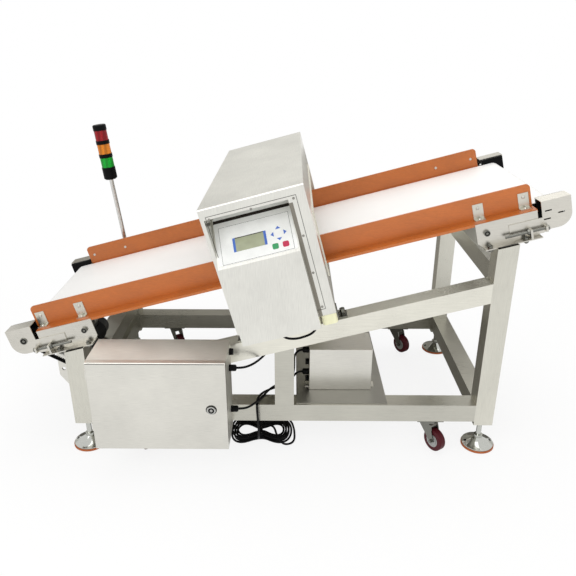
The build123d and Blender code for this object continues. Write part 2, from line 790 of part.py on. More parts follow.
key_spots = {
    "key_up": (arrows_a, arrows_b + arrow_pitch),
    "key_down": (arrows_a, arrows_b - arrow_pitch),
    "key_left": (arrows_a - arrow_pitch, arrows_b),
    "key_right": (arrows_a + arrow_pitch, arrows_b),
    "key_start": (push_a - push_pitch / 2, push_b),
    "key_stop": (push_a + push_pitch / 2, push_b),
}
key_gap = 0.4
key_foot = -(key_depth - overlay_thickness - key_proud)


def key_block(size, z0, z1):
    body = Pos(0, 0, (z0 + z1) / 2) * Box(size, size, z1 - z0)
    return fillet(body.edges().filter_by(Axis.Z), size / 4)


for name, (a, b) in key_spots.items():
    size = push_key if name in ("key_start", "key_stop") else arrow_key
    well = Pos(a, b, 0) * key_block(size + 2 * key_gap, key_foot - key_travel - 0.2, key_depth)
    overlay -= well
    cover -= panel * well
    nodes[name] = [slope * (panel * (Pos(a, b, 0) * key_block(size, key_foot,
                                                              overlay_thickness + key_proud)))]
nodes["head_cover"] = [slope * cover]
nodes["panel_overlay"] = [slope * (panel * overlay)]
nodes["display"] = [slope * (panel * display)]

# Nylon pads between the head and the rails, each held by a bent clamp
pad_u = (head_left_u + 4, head_right_u - 4 - pad_width)
pads = []
clamps = []
for u in pad_u:
    pad = block(u, u + pad_width, -pad_front, tube, rail_top_v, head_bottom_v)
    pads += both(fillet(pad.edges().filter_by(Axis.Z).group_by(Axis.Y)[0], pad_round))
    out = -1 if u == pad_u[0] else 1
    edge = u if out < 0 else u + pad_width
    foot_u = sorted((edge, edge + out * 30))
    wall_u = sorted((edge, edge + out * clamp_sheet))
    clamp = block(foot_u[0], foot_u[1], 8, tube - 8, rail_top_v, rail_top_v + clamp_sheet)
    clamp += block(wall_u[0], wall_u[1], 8, tube - 8, rail_top_v, rail_top_v + 34)
    clamp += rod_z(edge + out * 18, tube / 2, rail_top_v, rail_top_v + 22, bolt_head_r)
    clamps += both(clamp)
nodes["head_pads"] = [slope * part for part in pads]
fasteners += [slope * part for part in clamps]
nodes["fasteners"] = fasteners

# Signal tower on its pole at the lower rear corner
tower_y = frame_depth - tower_inset
tower_foot = (slope * Pos(tower_u, tower_y, tower_v)).position
tower = Pos(tower_foot) * Rot(0, -tower_lean, 0)
pole = rod_z(0, 0, 0, tower_pole_length, tower_pole_r)
plate_back = frame_depth - plate_y
clip = slope.inverse() * tower * rod_z(0, 0, 0, tower_pole_length, tower_pole_r + 0.01)
clip_u = (slope.inverse() * tower * Pos(0, 0, 14)).position.X
clip_v = (slope.inverse() * tower * Pos(0, 0, 14)).position.Z
clip_block = block(clip_u - 20, clip_u + 20, plate_back, tower_y + tower_pole_r + 6,
                   clip_v - 9, clip_v + 9) - clip
nodes["tower_pole"] = [tower * pole, slope * clip_block]

z = tower_pole_length
lens_r = tower_r - 1.5
housing_solids = [rod_z(0, 0, z, z + tower_base, tower_r)]
housing_solids[0] = chamfer(housing_solids[0].edges().group_by(Axis.Z)[0], 5.0)
z += tower_base
for name in ("lens_green", "lens_amber", "lens_red"):
    nodes[name] = [tower * rod_z(0, 0, z, z + lens_height, lens_r)]
    z += lens_height
    if name != "lens_red":
        housing_solids.append(rod_z(0, 0, z, z + ring_height, tower_r))
        z += ring_height
cap = rod_z(0, 0, z, z + cap_height, tower_r)
housing_solids.append(fillet(cap.edges().group_by(Axis.Z)[-1], 5.0))
nodes["tower_housing"] = [tower * part for part in housing_solids]

# Control box with a hinged door and a quarter-turn lock
box_right_x = box_left_x + box_width
box_top_z = box_bottom_z + box_height
body_y = -box_depth
body = block(box_left_x, box_right_x, body_y, 0, box_bottom_z, box_top_z)
body -= block(box_left_x + box_sheet, box_right_x - box_sheet, body_y + box_sheet, -box_sheet,
              box_bottom_z + box_sheet, box_top_z - box_sheet)
body -= block(box_left_x + box_rim, box_right_x - box_rim, body_y - 1, body_y + 2 * box_sheet,
              box_bottom_z + box_rim, box_top_z - box_rim)
hinge_x = box_left_x - hinge_r - run_gap
hinge_y = body_y - door_gap / 2
hinge_z = (box_bottom_z + 0.2 * box_height, box_bottom_z + 0.8 * box_height)
door_y1 = body_y - door_gap
door_y0 = door_y1 - door_depth
sleeve_gap = 0.5
lug = 5.0
for hz in hinge_z:
    body += rod_z(hinge_x, hinge_y, hz - lug, hz + hinge_length + lug, hinge_pin_r)
    for z0 in (hz - lug, hz + hinge_length):
        body += rod_z(hinge_x, hinge_y, z0, z0 + lug, hinge_r)
        body += block(hinge_x, box_left_x + box_sheet, hinge_y, hinge_y + 2 * hinge_r, z0, z0 + lug)

door = block(box_left_x, box_right_x, door_y0, door_y1, box_bottom_z, box_top_z)
door = fillet(door.edges().group_by(Axis.Y)[0], 2.0)
door -= block(box_left_x + box_sheet, box_right_x - box_sheet, door_y0 + box_sheet, door_y1 + 1,
              box_bottom_z + box_sheet, box_top_z - box_sheet)
for hz in hinge_z:
    door += rod_z(hinge_x, hinge_y, hz + sleeve_gap, hz + hinge_length - sleeve_gap, hinge_r)
    door += block(hinge_x, box_left_x + box_sheet, hinge_y - 2 * hinge_r, hinge_y - door_gap,
                  hz + sleeve_gap, hz + hinge_length - sleeve_gap)
    door -= rod_z(hinge_x, hinge_y, hz - lug, hz + hinge_length + lug, hinge_pin_r + fit_gap)
lock_x = box_right_x - lock_inset
lock_z = box_bottom_z + lock_height
lock_barrel = 9.0
door -= rod_y(lock_x, door_y0 - 1, door_y0 + box_sheet + 1, lock_z, lock_barrel + fit_gap)
nodes["control_box"] = [body]
nodes["control_box_door"] = [door]

cam_y = body_y + 2.5 * box_sheet
lock = rod_y(lock_x, door_y0 - 5, door_y0 - run_gap, lock_z, lock_r)
lock += rod_y(lock_x, door_y0 - run_gap, cam_y, lock_z, lock_barrel)
lock += block(lock_x - 7, lock_x + 7, cam_y, cam_y + 3, lock_z - cam_length, lock_z + 8)
lock -= block(lock_x - 7, lock_x + 7, door_y0 - 6, door_y0 - 3, lock_z - 1.2, lock_z + 1.2)
nodes["door_lock"] = [lock]

board_stand = 10.0
board_sheet = 2.0
board_margin = 25.0
stud_margin = 40.0
stud_r = 5.0
device_margin = 8.0
device_gap = 12.0
inverter_width = 100.0
inverter_depth = 60.0
contactor_width = 50.0
contactor_height = 85.0
contactor_depth = 70.0
terminal_height = 40.0
terminal_depth = 40.0
terminal_rise = 27.0
board_y = -box_sheet - board_stand
device_y = board_y - board_sheet
board_x = (box_left_x + board_margin, box_right_x - board_margin)
board_z = (box_bottom_z + board_margin, box_top_z - board_margin)
board = block(board_x[0], board_x[1], device_y, board_y, board_z[0], board_z[1])
board += [rod_y(x, board_y, -box_sheet, z, stud_r)
          for x in (box_left_x + stud_margin, box_right_x - stud_margin)
          for z in (box_bottom_z + stud_margin, box_top_z - stud_margin)]
device_x = board_x[0] + device_margin
device_top = board_z[1] - device_margin
terminal_top = board_z[0] + terminal_rise + terminal_height
devices = [block(device_x, board_x[1] - device_margin, device_y - terminal_depth, device_y,
                 board_z[0] + terminal_rise, terminal_top),
           block(device_x, device_x + inverter_width, device_y - inverter_depth, device_y,
                 terminal_top + device_gap, device_top)]
for k in (1, 2):
    left = device_x + inverter_width + k * device_gap + (k - 1) * contactor_width
    devices.append(block(left, left + contactor_width, device_y - contactor_depth, device_y,
                         device_top - contactor_height, device_top))
nodes["box_components"] = [board] + devices

# Drive box standing on the shelf
tray_top = rail_top_z + tray_thickness
drive_right_x = drive_left_x + drive_width
drive_top = tray_top + drive_height
case_y = drive_y + drive_lid
case = block(drive_left_x, drive_right_x, case_y, drive_y + drive_depth, tray_top, drive_top)
case -= block(drive_left_x + box_sheet, drive_right_x - box_sheet, case_y - 1,
              drive_y + drive_depth - box_sheet, tray_top + box_sheet, drive_top - box_sheet)
for x0 in (drive_left_x - 12, drive_right_x):
    case += block(x0, x0 + 12, case_y + 10, case_y + 40, tray_top, tray_top + 3)
lid = block(drive_left_x, drive_right_x, drive_y, case_y, tray_top, drive_top)
lid = fillet(lid.edges().group_by(Axis.Y)[0], 2.0)
nodes["drive_box"] = [case, lid]


# Cable glands: hexagon, dome nut and the hole for the cable
gland_hex = 6.0
gland_hex_r = 1.15 * gland_r
gland_chamfer = 3.0


def gland(radius):
    dome = gland_length - gland_hex
    body = extrude(RegularPolygon(gland_hex_r, 6), gland_hex)
    body += Pos(0, 0, gland_hex + dome / 2) * Cylinder(gland_r, dome)
    body = chamfer(body.edges().group_by(Axis.Z)[-1], gland_chamfer)
    return body - Cylinder(radius + fit_gap, 3 * gland_length)


facing_right = Rot(0, 90, 0)
facing_left = Rot(0, -90, 0)
gland_x = box_right_x + gland_length
upper_gland = (-0.41 * box_depth, box_top_z - 68)
lower_gland = (-0.315 * box_depth, box_bottom_z + 74)
spare_gland = (-0.236 * box_depth, box_top_z - 25)
drive_gland_y = case_y + 31
signal_gland_z = drive_top - 22
mains_gland_z = drive_top - 104
glands = [Pos(box_right_x, *upper_gland) * facing_right * gland(cable_r),
          Pos(box_right_x, *lower_gland) * facing_right * gland(cable_r),
          Pos(drive_left_x, drive_gland_y, signal_gland_z) * facing_left * gland(cable_r),
          Pos(drive_left_x, drive_gland_y, mains_gland_z) * facing_left * gland(cord_r)]
head_gland = (-101.0, 108.0)
loop_glands = ((-82.0, head_y0 + 13), (26.0, head_y0 + 13))
for u, y in (head_gland,) + loop_glands:
    glands.append(slope * Pos(u, y, head_bottom_v) * Rot(180, 0, 0) * gland(cable_r))
blind_plug = extrude(RegularPolygon(gland_hex_r, 6), gland_hex)
blind_plug += Pos(0, 0, 1.5 * gland_hex) * Cylinder(gland_r, gland_hex)
glands.append(Pos(box_right_x, *spare_gland) * facing_right * blind_plug)
for drop in (66, 130):
    glands.append(Pos(drive_left_x, drive_gland_y, drive_top - drop) * facing_left * blind_plug)
nodes["cable_glands"] = glands


# Cables and cord: straight runs joined by arcs as large as the runs allow
def route_radii(points):
    radii = []
    for before, at, after in zip(points, points[1:], points[2:]):
        first = Vector(*at) - Vector(*before)
        second = Vector(*after) - Vector(*at)
        turn = math.radians(first.get_angle(second))
        radii.append(0.45 * min(first.length, second.length) / math.tan(turn / 2))
    return radii


def cable(name, points, radius):
    radii = route_radii(points)
    path = FilletPolyline(*points, radius=radii)
    start = Plane(origin=path @ 0, z_dir=path % 0)
    tube_solid = sweep(start * Circle(radius), path)
    share = tube_solid.volume / (math.pi * radius ** 2 * path.length)
    print(name, "length %.0f" % path.length, "volume share %.4f" % share,
          "radii", ["%.0f" % r for r in radii])
    return tube_solid


grip = 10.0


def under_head(u, y, drop):
    spot = (slope * Pos(u, y, head_bottom_v - drop)).position
    return (spot.X, spot.Y, spot.Z)


box_grip_x = gland_x - grip
drive_grip_x = drive_left_x - gland_length + grip
gland_run = gland_length + 12
head_cable = [(box_grip_x, *upper_gland), (gland_x + 12, *upper_gland), (-137, -47, 336), (-118, -31, 337),
              (-101, -5, 337), (-86, 25, 338), (-74, 53, 343), (-65, 77, 356), (-59, 94, 375),
              (-55, 103, 398), (-52, 107, 424), under_head(*head_gland, gland_run),
              under_head(*head_gland, gland_length - grip)]
drive_cable = [(box_grip_x, *lower_gland), (gland_x + 12, *lower_gland), (-136, -36, 185), (-112, -16, 191),
               (-94, 14, 193), (-80, 46, 192), (-64, 76, 190), (-38, 94, 191), (-12, 102, 198),
               (2, 108, 216), (6, 114, 239), (6, 119, 260), (6, 124, 278), (14, 127, 292),
               (drive_grip_x - 15, drive_gland_y, signal_gland_z),
               (drive_grip_x, drive_gland_y, signal_gland_z)]
loop_left, loop_right = loop_glands
loop_y = loop_left[1]
loop_cable = [under_head(*loop_left, gland_length - grip), under_head(*loop_left, gland_length + 6),
              under_head(-74, loop_y, 44), under_head(-58, loop_y, 53), under_head(-38, loop_y, 57),
              under_head(-18, loop_y, 56), under_head(2, loop_y, 53), under_head(18, loop_y, 44),
              under_head(*loop_right, gland_length + 6), under_head(*loop_right, gland_length - grip)]
nodes["control_cables"] = [cable("head cable", head_cable, cable_r),
                           cable("drive cable", drive_cable, cable_r),
                           cable("loop cable", loop_cable, cable_r)]

# Cord on the floor between the front rails, tied at its waist into two lobes, with its plug
hank_x = -106.0
hank_y = 94.0
hank_height = 26.0
lobe_x = 62.0
lobe_length = 87.0
lobe_width = 134.0
waist_width = 60.0
hank_left = hank_x - lobe_x - lobe_length / 2
hank_plan = Rectangle(2 * lobe_x, waist_width)
hank_plan += [Pos(side * lobe_x, 0) * Ellipse(lobe_length / 2, lobe_width / 2) for side in (-1, 1)]
hank = Pos(hank_x, hank_y, 0) * extrude(hank_plan, hank_height)
nodes["cord_hank"] = [hank]

plug_r = 17.0
plug_length = 40.0
plug_relief = 30.0
plug_pin_r = 2.4
plug_pin_length = 19.0
plug_pin_pitch = 19.0
plug_tail = 24.0
plug_y = hank_y + lobe_width / 2 - cord_r - 1.5
relief_x = hank_left - plug_tail
plug_x = relief_x - plug_relief - plug_length
plug_body = rod_x(0, plug_length, 0, 0, plug_r)
plug_body = fillet(plug_body.edges().group_by(Axis.X)[-1], 6.0)
plug_body += Pos(plug_length + plug_relief / 2, 0, 0) * Rot(0, 90, 0) * Cone(8, 5.5, plug_relief)
for side in (-1, 1):
    plug_body += rod_x(-plug_pin_length, 0, side * plug_pin_pitch / 2, 0, plug_pin_r)
nodes["mains_plug"] = [Pos(plug_x, plug_y, plug_r) * plug_body]

waist_front = hank_y - waist_width / 2
mains_route = [(drive_grip_x, drive_gland_y, mains_gland_z),
               (drive_grip_x - 16, drive_gland_y, mains_gland_z), (13, 126, 213), (2, 122, 201),
               (-9, 116, 188), (-26, 108, 179), (-48, 97, 177), (-72, 82, 177),
               (-93, 63, 178), (-106, 40, 180), (-111, 18, 181), (-112, 1, 181), (-112, -14, 173),
               (-111, -22, 159), (-110, -23, 142), (-109, -21, 120), (-108, -17, 96), (-108, -11, 72),
               (-109, -2, 50), (-110, 11, 33), (-111, 28, 23), (-111, waist_front - 18, 18),
               (-111, waist_front - 1, 16)]
plug_cord = rod_x(relief_x + run_gap, hank_x - lobe_x, plug_y, plug_r, cord_r) - hank
nodes["mains_cord"] = [cable("mains cord", mains_route, cord_r), plug_cord]

# Centre the machine on the floor and write every piece
cord_names = ("mains_cord", "cord_hank", "mains_plug")
machine = [part for name, parts in nodes.items() if name not in cord_names for part in parts]
extent = Compound(children=[part.moved(Location()) for part in machine]).bounding_box()
home = Pos(-extent.center().X, -extent.center().Y, -extent.min.Z)
os.makedirs("parts", exist_ok=True)
for name, parts in nodes.items():
    export_step(Compound(children=[home * part for part in parts]), "parts/" + name + ".step")
print("home", home.position, "size", extent.size, "nodes", len(nodes))
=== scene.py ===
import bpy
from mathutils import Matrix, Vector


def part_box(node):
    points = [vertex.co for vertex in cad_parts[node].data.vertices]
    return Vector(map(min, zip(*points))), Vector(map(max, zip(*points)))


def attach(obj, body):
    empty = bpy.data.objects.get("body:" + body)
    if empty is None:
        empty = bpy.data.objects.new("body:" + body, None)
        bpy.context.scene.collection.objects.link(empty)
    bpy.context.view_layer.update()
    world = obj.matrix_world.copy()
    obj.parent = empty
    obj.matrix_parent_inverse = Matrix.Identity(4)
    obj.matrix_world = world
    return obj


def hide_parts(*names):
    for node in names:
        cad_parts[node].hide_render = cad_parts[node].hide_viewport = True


bl_info = {
    "name": "Conveyor metal detector",
    "version": (1, 0, 0),
    "blender": (4, 5, 0),
    "location": "3D View > Sidebar > Detector",
    "description": "Finishes, cables, panel print and small fittings of an inclined conveyor metal detector",
    "category": "Object",
}

from math import cos, pi, radians, sin, sqrt

import bmesh
import bpy
from bpy.props import FloatProperty, FloatVectorProperty, PointerProperty
from bpy.types import Operator, Panel, PropertyGroup
from mathutils import Matrix, Vector

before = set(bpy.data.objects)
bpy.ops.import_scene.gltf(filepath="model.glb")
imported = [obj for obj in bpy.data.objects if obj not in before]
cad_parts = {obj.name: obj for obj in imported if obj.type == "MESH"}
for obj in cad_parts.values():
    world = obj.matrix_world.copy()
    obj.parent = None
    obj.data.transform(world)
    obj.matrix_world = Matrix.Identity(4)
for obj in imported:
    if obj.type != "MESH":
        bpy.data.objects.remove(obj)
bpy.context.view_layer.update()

# The machine is drawn in its own millimetres: x uphill, y from the front legs back, z up.
# The left front leg's lowest corner ties that to the frame's metres.
LEG_CORNER_MM = Vector((-702.0, 0.0, 96.0))
HOME = Vector(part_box("legs")[0]) - LEG_CORNER_MM / 1000
# The slope: its angle, its height at x = 0, its middle in y and the head's underside, square to it
INCLINE = radians(14.75)
LINE_Z = 650.0
MID_Y = 361.0
HEAD_BOTTOM_V = -146.0

SLOPE_TURN = Matrix.Rotation(-INCLINE, 3, "Y")
SLOPE_RIGHT = SLOPE_TURN @ Vector((1, 0, 0))
SLOPE_UP = SLOPE_TURN @ Vector((0, 0, 1))
FRONT = Vector((0, -1, 0))
BACK = Vector((0, 1, 0))
# Each side of the conveyor: where a front y lies on it, its own right and the way out
SIDES = ((lambda y: y, SLOPE_RIGHT, FRONT), (lambda y: 2 * MID_Y - y, -SLOPE_RIGHT, BACK))
# Thickness of the thin dark pieces of painted shade that are laid on a surface, in metres
LAID_ON = 0.0003
# Blender's wave texture has 20 bands for each unit of its scale
WAVE_BANDS = 20


def linear(code):
    """An sRGB hex colour as linear red, green, blue and alpha."""
    parts = [int(code[k:k + 2], 16) / 255 for k in (1, 3, 5)]
    return tuple(c / 12.92 if c <= 0.04045 else ((c + 0.055) / 1.055) ** 2.4 for c in parts) + (1.0,)


def at(x, y, z):
    """A point of the machine, from millimetres to the frame's metres."""
    return HOME + Vector((x, y, z)) / 1000


def slope_mm(u, y, v):
    """A point of the conveyor in machine millimetres: u along it, v square to it."""
    return (u * cos(INCLINE) - v * sin(INCLINE), y,
            LINE_Z + u * sin(INCLINE) + v * cos(INCLINE))


def on_slope(u, y, v):
    """A point of the conveyor in the frame's metres."""
    return at(*slope_mm(u, y, v))


def colour(name, text, code):
    """A colour property with an sRGB hex default."""
    return FloatVectorProperty(name=name, description=text, subtype="COLOR", size=4, min=0.0, max=1.0,
                               default=linear(code))


def length(name, text, millimetres):
    """A length property with a default in millimetres."""
    return FloatProperty(name=name, description=text, subtype="DISTANCE", unit="LENGTH",
                         default=millimetres / 1000)


class DetectorColours(PropertyGroup):
    """Colours of the machine's finishes."""
    steel: colour("Tube steel", "Satin stainless tube and angle", "#D8D6CB")
    sheet: colour("Sheet steel", "Brushed stainless sheet of the boxes and shelf", "#DFDDD5")
    head: colour("Head steel", "Brushed sheet of the detector head", "#EAE9E2")
    plate: colour("Plate steel", "Side plates and end housings", "#D6D3CA")
    phenolic: colour("Phenolic board", "Guards and slider bed", "#B96628")
    belt: colour("Belt", "White belt cover", "#FBFAF8")
    nylon: colour("Nylon", "Pads under the head", "#FBF8D2")
    black: colour("Black plastic", "Glands, bearing plates and tower rings", "#060607")
    motor: colour("Motor paint", "Gear motor", "#14161A")
    tread: colour("Wheel tread", "Castor tread", "#4C121B")
    foot_ring: colour("Foot ring", "Rubber ring under the feet", "#B4663C")
    film: colour("Panel film", "Printed film of the key panel", "#F4F5F3")
    screen: colour("Screen", "Liquid-crystal screen", "#A5AA8D")
    mark_blue: colour("Blue print", "Arrows and screen borders", "#4E73C6")
    key_green: colour("Green key", "Start key", "#3F9A63")
    key_red: colour("Red key", "Stop key", "#C23A57")
    lens_red: colour("Red lens", "Top lens of the signal tower", "#8E1019")
    lens_amber: colour("Amber lens", "Middle lens of the signal tower", "#D07A1E")
    lens_green: colour("Green lens", "Lowest lens of the signal tower", "#0E9A2C")


class DetectorSizes(PropertyGroup):
    """Sizes of the small fittings."""
    screw_r: length("Screw head", "Radius of the guard screws", 5.0)
    frame_screw_r: length("Frame screw", "Radius of the head's frame screws", 3.6)
    seam: length("Seam", "Width of the seams in the head's front frame", 1.4)
    cord: length("Mains cord", "Diameter of the mains cord", 7.0)
    cable: length("Cable", "Diameter of the control cables", 7.0)
    tube_corner: length("Tube corner", "Outside corner radius of the square tubes", 2.0)
    sheet_corner: length("Sheet corner", "Bend radius of folded sheet", 1.6)
    print_height: length("Print", "Height of the print on the panel's film", 0.2)


class DetectorCamera(PropertyGroup):
    """Where the camera stands and how it looks."""
    place: FloatVectorProperty(name="Place", description="Camera position in the frame", size=3,
                               subtype="TRANSLATION", default=at(0.91, -1639.69, 1263.61))
    pitch: FloatProperty(name="Pitch", description="Look down", subtype="ANGLE", default=radians(22.82))
    yaw: FloatProperty(name="Yaw", description="Look towards the upper end", subtype="ANGLE",
                       default=radians(-0.51))
    lens: FloatProperty(name="Lens", description="Focal length on a 36 mm sensor", subtype="DISTANCE_CAMERA",
                        default=38.0)


def settings():
    """The colours and the sizes in use."""
    return bpy.context.scene.detector_colours, bpy.context.scene.detector_sizes


def node(tree, kind, inputs=None, stops=(), to=None, **options):
    """Adds one shader node with its options, its colour stops, its socket values and its links. A node as a
    value stands for its first output, and the new node's own first output feeds the socket to."""
    made = tree.nodes.new("ShaderNode" + kind)
    for key, value in options.items():
        setattr(made, key, value)
    for element, (position, tone) in zip(made.color_ramp.elements if stops else (), stops):
        element.position = position
        element.color = tone
    for key, value in (inputs or {}).items():
        if isinstance(value, bpy.types.Node):
            value = value.outputs[0]
        if isinstance(value, bpy.types.NodeSocket):
            tree.links.new(value, made.inputs[key])
        else:
            made.inputs[key].default_value = value
    if to:
        tree.links.new(made.outputs[0], to)
    return made


def material(name, base, metallic=0.0, roughness=0.5, **sockets):
    """A principled material; sockets are its other constant values."""
    made = bpy.data.materials.new(name)
    made.use_nodes = True
    shader = made.node_tree.nodes["Principled BSDF"]
    for key, value in dict(sockets, Base_Color=base, Metallic=metallic, Roughness=roughness).items():
        shader.inputs[key.replace("_", " ")].default_value = value
    return made, made.node_tree, shader


def shade(base, factor):
    """A linear colour made darker or lighter."""
    return tuple(min(c * factor, 1.0) for c in base[:3]) + (1.0,)


def worked_surface(name, base, roughness, grain_mm, cloud_mm, tone=(0.9, 1.05), swing=0.1, depth_mm=0.03,
                   metallic=0.0, **sockets):
    """A surface whose tone and shine follow a fine grain over slow clouds. grain_mm and cloud_mm are their
    sizes along x, y and z, tone the range of brightness, swing the range of roughness and depth_mm the
    height of the grain."""
    made, tree, shader = material(name, base, metallic, roughness, **sockets)
    place = node(tree, "TexCoord").outputs["Object"]
    patterns = []
    for size in (grain_mm, cloud_mm):
        sized = node(tree, "Mapping", {"Vector": place, "Scale": tuple(1000 / s for s in size)})
        patterns.append(node(tree, "TexNoise",
                             {"Vector": sized, "Scale": 1.0, "Detail": 4.0, "Roughness": 0.62}))
    grain, clouds = patterns
    both = node(tree, "Mix", {"Factor": 0.5, "A": grain, "B": clouds})
    node(tree, "ValToRGB", {"Fac": both}, to=shader.inputs["Base Color"],
         stops=((0.34, shade(base, tone[0])), (0.66, shade(base, tone[1]))))
    node(tree, "MapRange", {"Value": both, "From Min": 0.3, "From Max": 0.7,
                            "To Min": roughness - swing / 2, "To Max": roughness + swing / 2},
         to=shader.inputs["Roughness"])
    node(tree, "Bump", {"Height": grain, "Distance": depth_mm / 1000, "Strength": 0.5},
         to=shader.inputs["Normal"])
    return made


def stainless(name, base, grain_mm, roughness=0.31):
    """Stainless, linished one way: silver with long fine lines and slow clouds in its shine. The real
    lines are finer than a tenth of a millimetre and are drawn coarser so that they show."""
    return worked_surface(name, base, roughness, grain_mm, (240.0,) * 3, (0.84, 1.06), 0.16, 0.03, 1.0)


def plated(name, base, roughness):
    """Plated or machined metal: bright, with faint dull patches some 2 cm across."""
    return worked_surface(name, base, roughness, (2.0,) * 3, (18.0,) * 3, (0.88, 1.02), 0.1, 0.01, 1.0)


def moulded(name, base, roughness=0.42, grain_mm=1.6, specular=0.3):
    """Moulded plastic or rubber: a spark-eroded grain breaks up its highlights. The real grain is near
    0.2 mm and is drawn coarser so that it shows."""
    return worked_surface(name, base, roughness, (grain_mm,) * 3, (40.0,) * 3, (0.9, 1.06), 0.14, 0.05,
                          Specular_IOR_Level=specular)


def black_moulding(name, base, roughness=0.42):
    """Carbon-filled plastic or rubber: deep black with a weak, soft shine."""
    return moulded(name, base, roughness, specular=0.1)


def phenolic_board(base):
    """Paper phenolic board: a smooth resin skin over brown paper mottled along its length."""
    return worked_surface("phenolic paper board", base, 0.4, (14.0, 3.0, 3.0), (120.0, 60.0, 60.0),
                          (0.86, 1.1), 0.16, 0.04, Coat_Weight=0.2, Coat_Roughness=0.3)


def belt_cover(base):
    """White PVC belt cover: matt and clean, with its fabric's threads pressed faintly through. The threads
    are near 1 mm apart and are drawn at 3 mm so that they show."""
    made, tree, shader = material("white PVC belt cover", base, 0.0, 0.45)
    thread_mm, depth_mm, soil_mm = 3.0, 0.05, 160.0
    place = node(tree, "TexCoord").outputs["Object"]
    scale = 1000 / thread_mm / WAVE_BANDS
    threads = node(tree, "TexWave", {"Vector": place, "Scale": scale, "Distortion": 0.6}, bands_direction="Y")
    soil = node(tree, "TexNoise", {"Vector": place, "Scale": 1000 / soil_mm, "Detail": 3.0})
    node(tree, "ValToRGB", {"Fac": soil}, to=shader.inputs["Base Color"],
         stops=((0.3, shade(base, 0.965)), (0.7, base)))
    node(tree, "Bump", {"Height": threads.outputs["Fac"], "Distance": depth_mm / 1000, "Strength": 0.3},
         to=shader.inputs["Normal"])
    return made


def ribbed_lens(name, base):
    """Acrylic lens of an unlit lamp: deep colour, glossy, with upright ribs 3 mm apart. Across each rib the
    colour runs from darker to lighter: painted shade and highlight of the ribs.
    """
    made, tree, shader = material(name, base, 0.0, 0.2, Specular_IOR_Level=0.25)
    rib_mm, depth_mm = 3.0, 0.3
    place = node(tree, "TexCoord").outputs["Object"]
    ribs = node(tree, "TexWave", {"Vector": place, "Scale": 1000 / rib_mm / WAVE_BANDS}, bands_direction="X")
    node(tree, "ValToRGB", {"Fac": ribs.outputs["Fac"]}, to=shader.inputs["Base Color"],
         stops=((0.2, shade(base, 0.72)), (0.8, shade(base, 1.12))))
    node(tree, "Bump", {"Height": ribs.outputs["Fac"], "Distance": depth_mm / 1000, "Strength": 0.5},
         to=shader.inputs["Normal"])
    return made


def screen_glass(base):
    """Reflective liquid-crystal cell behind clear polyester: grey-green, smooth, faintly cloudy."""
    made, tree, shader = material("liquid-crystal cell", base, 0.0, 0.14, Coat_Weight=0.6)
    cloud_mm = 22.0
    place = node(tree, "TexCoord").outputs["Object"]
    clouds = node(tree, "TexNoise", {"Vector": place, "Scale": 1000 / cloud_mm, "Detail": 2.0})
    node(tree, "ValToRGB", {"Fac": clouds}, to=shader.inputs["Base Color"],
         stops=((0.3, shade(base, 0.92)), (0.7, shade(base, 1.06))))
    return made


def two_part(name, measure, limit, inner, outer):
    """Two finishes on one piece, split where measure passes limit. Each finish is (colour, metallic,
    roughness); measure adds its nodes and gives a socket. Both are broken up by a 3 mm grain."""
    grain_mm, white = 3.0, linear("#FFFFFF")
    made, tree, shader = material(name, inner[0], Specular_IOR_Level=0.2)
    place = node(tree, "TexCoord").outputs["Object"]
    split = node(tree, "Math", {0: measure(tree, place), 1: limit}, operation="GREATER_THAN")
    grain = node(tree, "TexNoise", {"Vector": place, "Scale": 1000 / grain_mm, "Detail": 3.0})
    tints = node(tree, "ValToRGB", {"Fac": grain}, stops=((0.3, shade(white, 0.86)), (0.7, white)))
    tone = node(tree, "Mix", {"Factor": split, "A": inner[0], "B": outer[0]}, data_type="RGBA")
    tinted = node(tree, "Mix", {"Factor": 1.0, "A": tone.outputs["Result"], "B": tints},
                  data_type="RGBA", blend_type="MULTIPLY")
    tree.links.new(tinted.outputs["Result"], shader.inputs["Base Color"])
    for socket, low, high in (("Metallic", inner[1], outer[1]), ("Roughness", inner[2], outer[2])):
        node(tree, "MapRange", {"Value": split, "To Min": low, "To Max": high}, to=shader.inputs[socket])
    return made


def height(tree, place):
    """Measures height above the floor, in metres."""
    return node(tree, "SeparateXYZ", {"Vector": place}).outputs["Z"]


def off_axle(point, direction):
    """Measures the distance from an axle through a point, in metres."""
    def measure(tree, place):
        arm = node(tree, "VectorMath", {0: place, 1: tuple(point)}, operation="SUBTRACT")
        across = node(tree, "VectorMath", {0: arm, 1: tuple(direction)}, operation="CROSS_PRODUCT")
        reach = node(tree, "VectorMath", {0: across}, operation="LENGTH")
        return reach.outputs["Value"]
    return measure


def ends(name):
    """The lowest and the highest corner of a CAD node's box."""
    return (Vector(corner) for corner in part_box(name))


def middle(name):
    """The middle of a CAD node's box."""
    low, high = ends(name)
    return (low + high) / 2


def coat(names, finish):
    """Gives CAD nodes a finish."""
    for name in names:
        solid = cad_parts[name]
        if not solid.material_slots:
            solid.data.materials.append(finish)
        for place in solid.material_slots:
            place.material = finish


def soften(names, radius, segments=2, angle=40.0):
    """Rounds the sharp edges of CAD nodes, as a bend or a break of the edge does."""
    for name in names:
        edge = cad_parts[name].modifiers.new("edge", "BEVEL")
        edge.width = radius
        edge.segments = segments
        edge.limit_method = "ANGLE"
        edge.angle_limit = radians(angle)


def put(name, data):
    """A new object in the scene."""
    made = bpy.data.objects.new(name, data)
    bpy.context.scene.collection.objects.link(made)
    return made


def put_mesh(name, work, finish):
    """A new mesh object in the scene, from a bmesh that ends here."""
    mesh = bpy.data.meshes.new(name)
    work.to_mesh(mesh)
    work.free()
    mesh.materials.append(finish)
    return put(name, mesh)


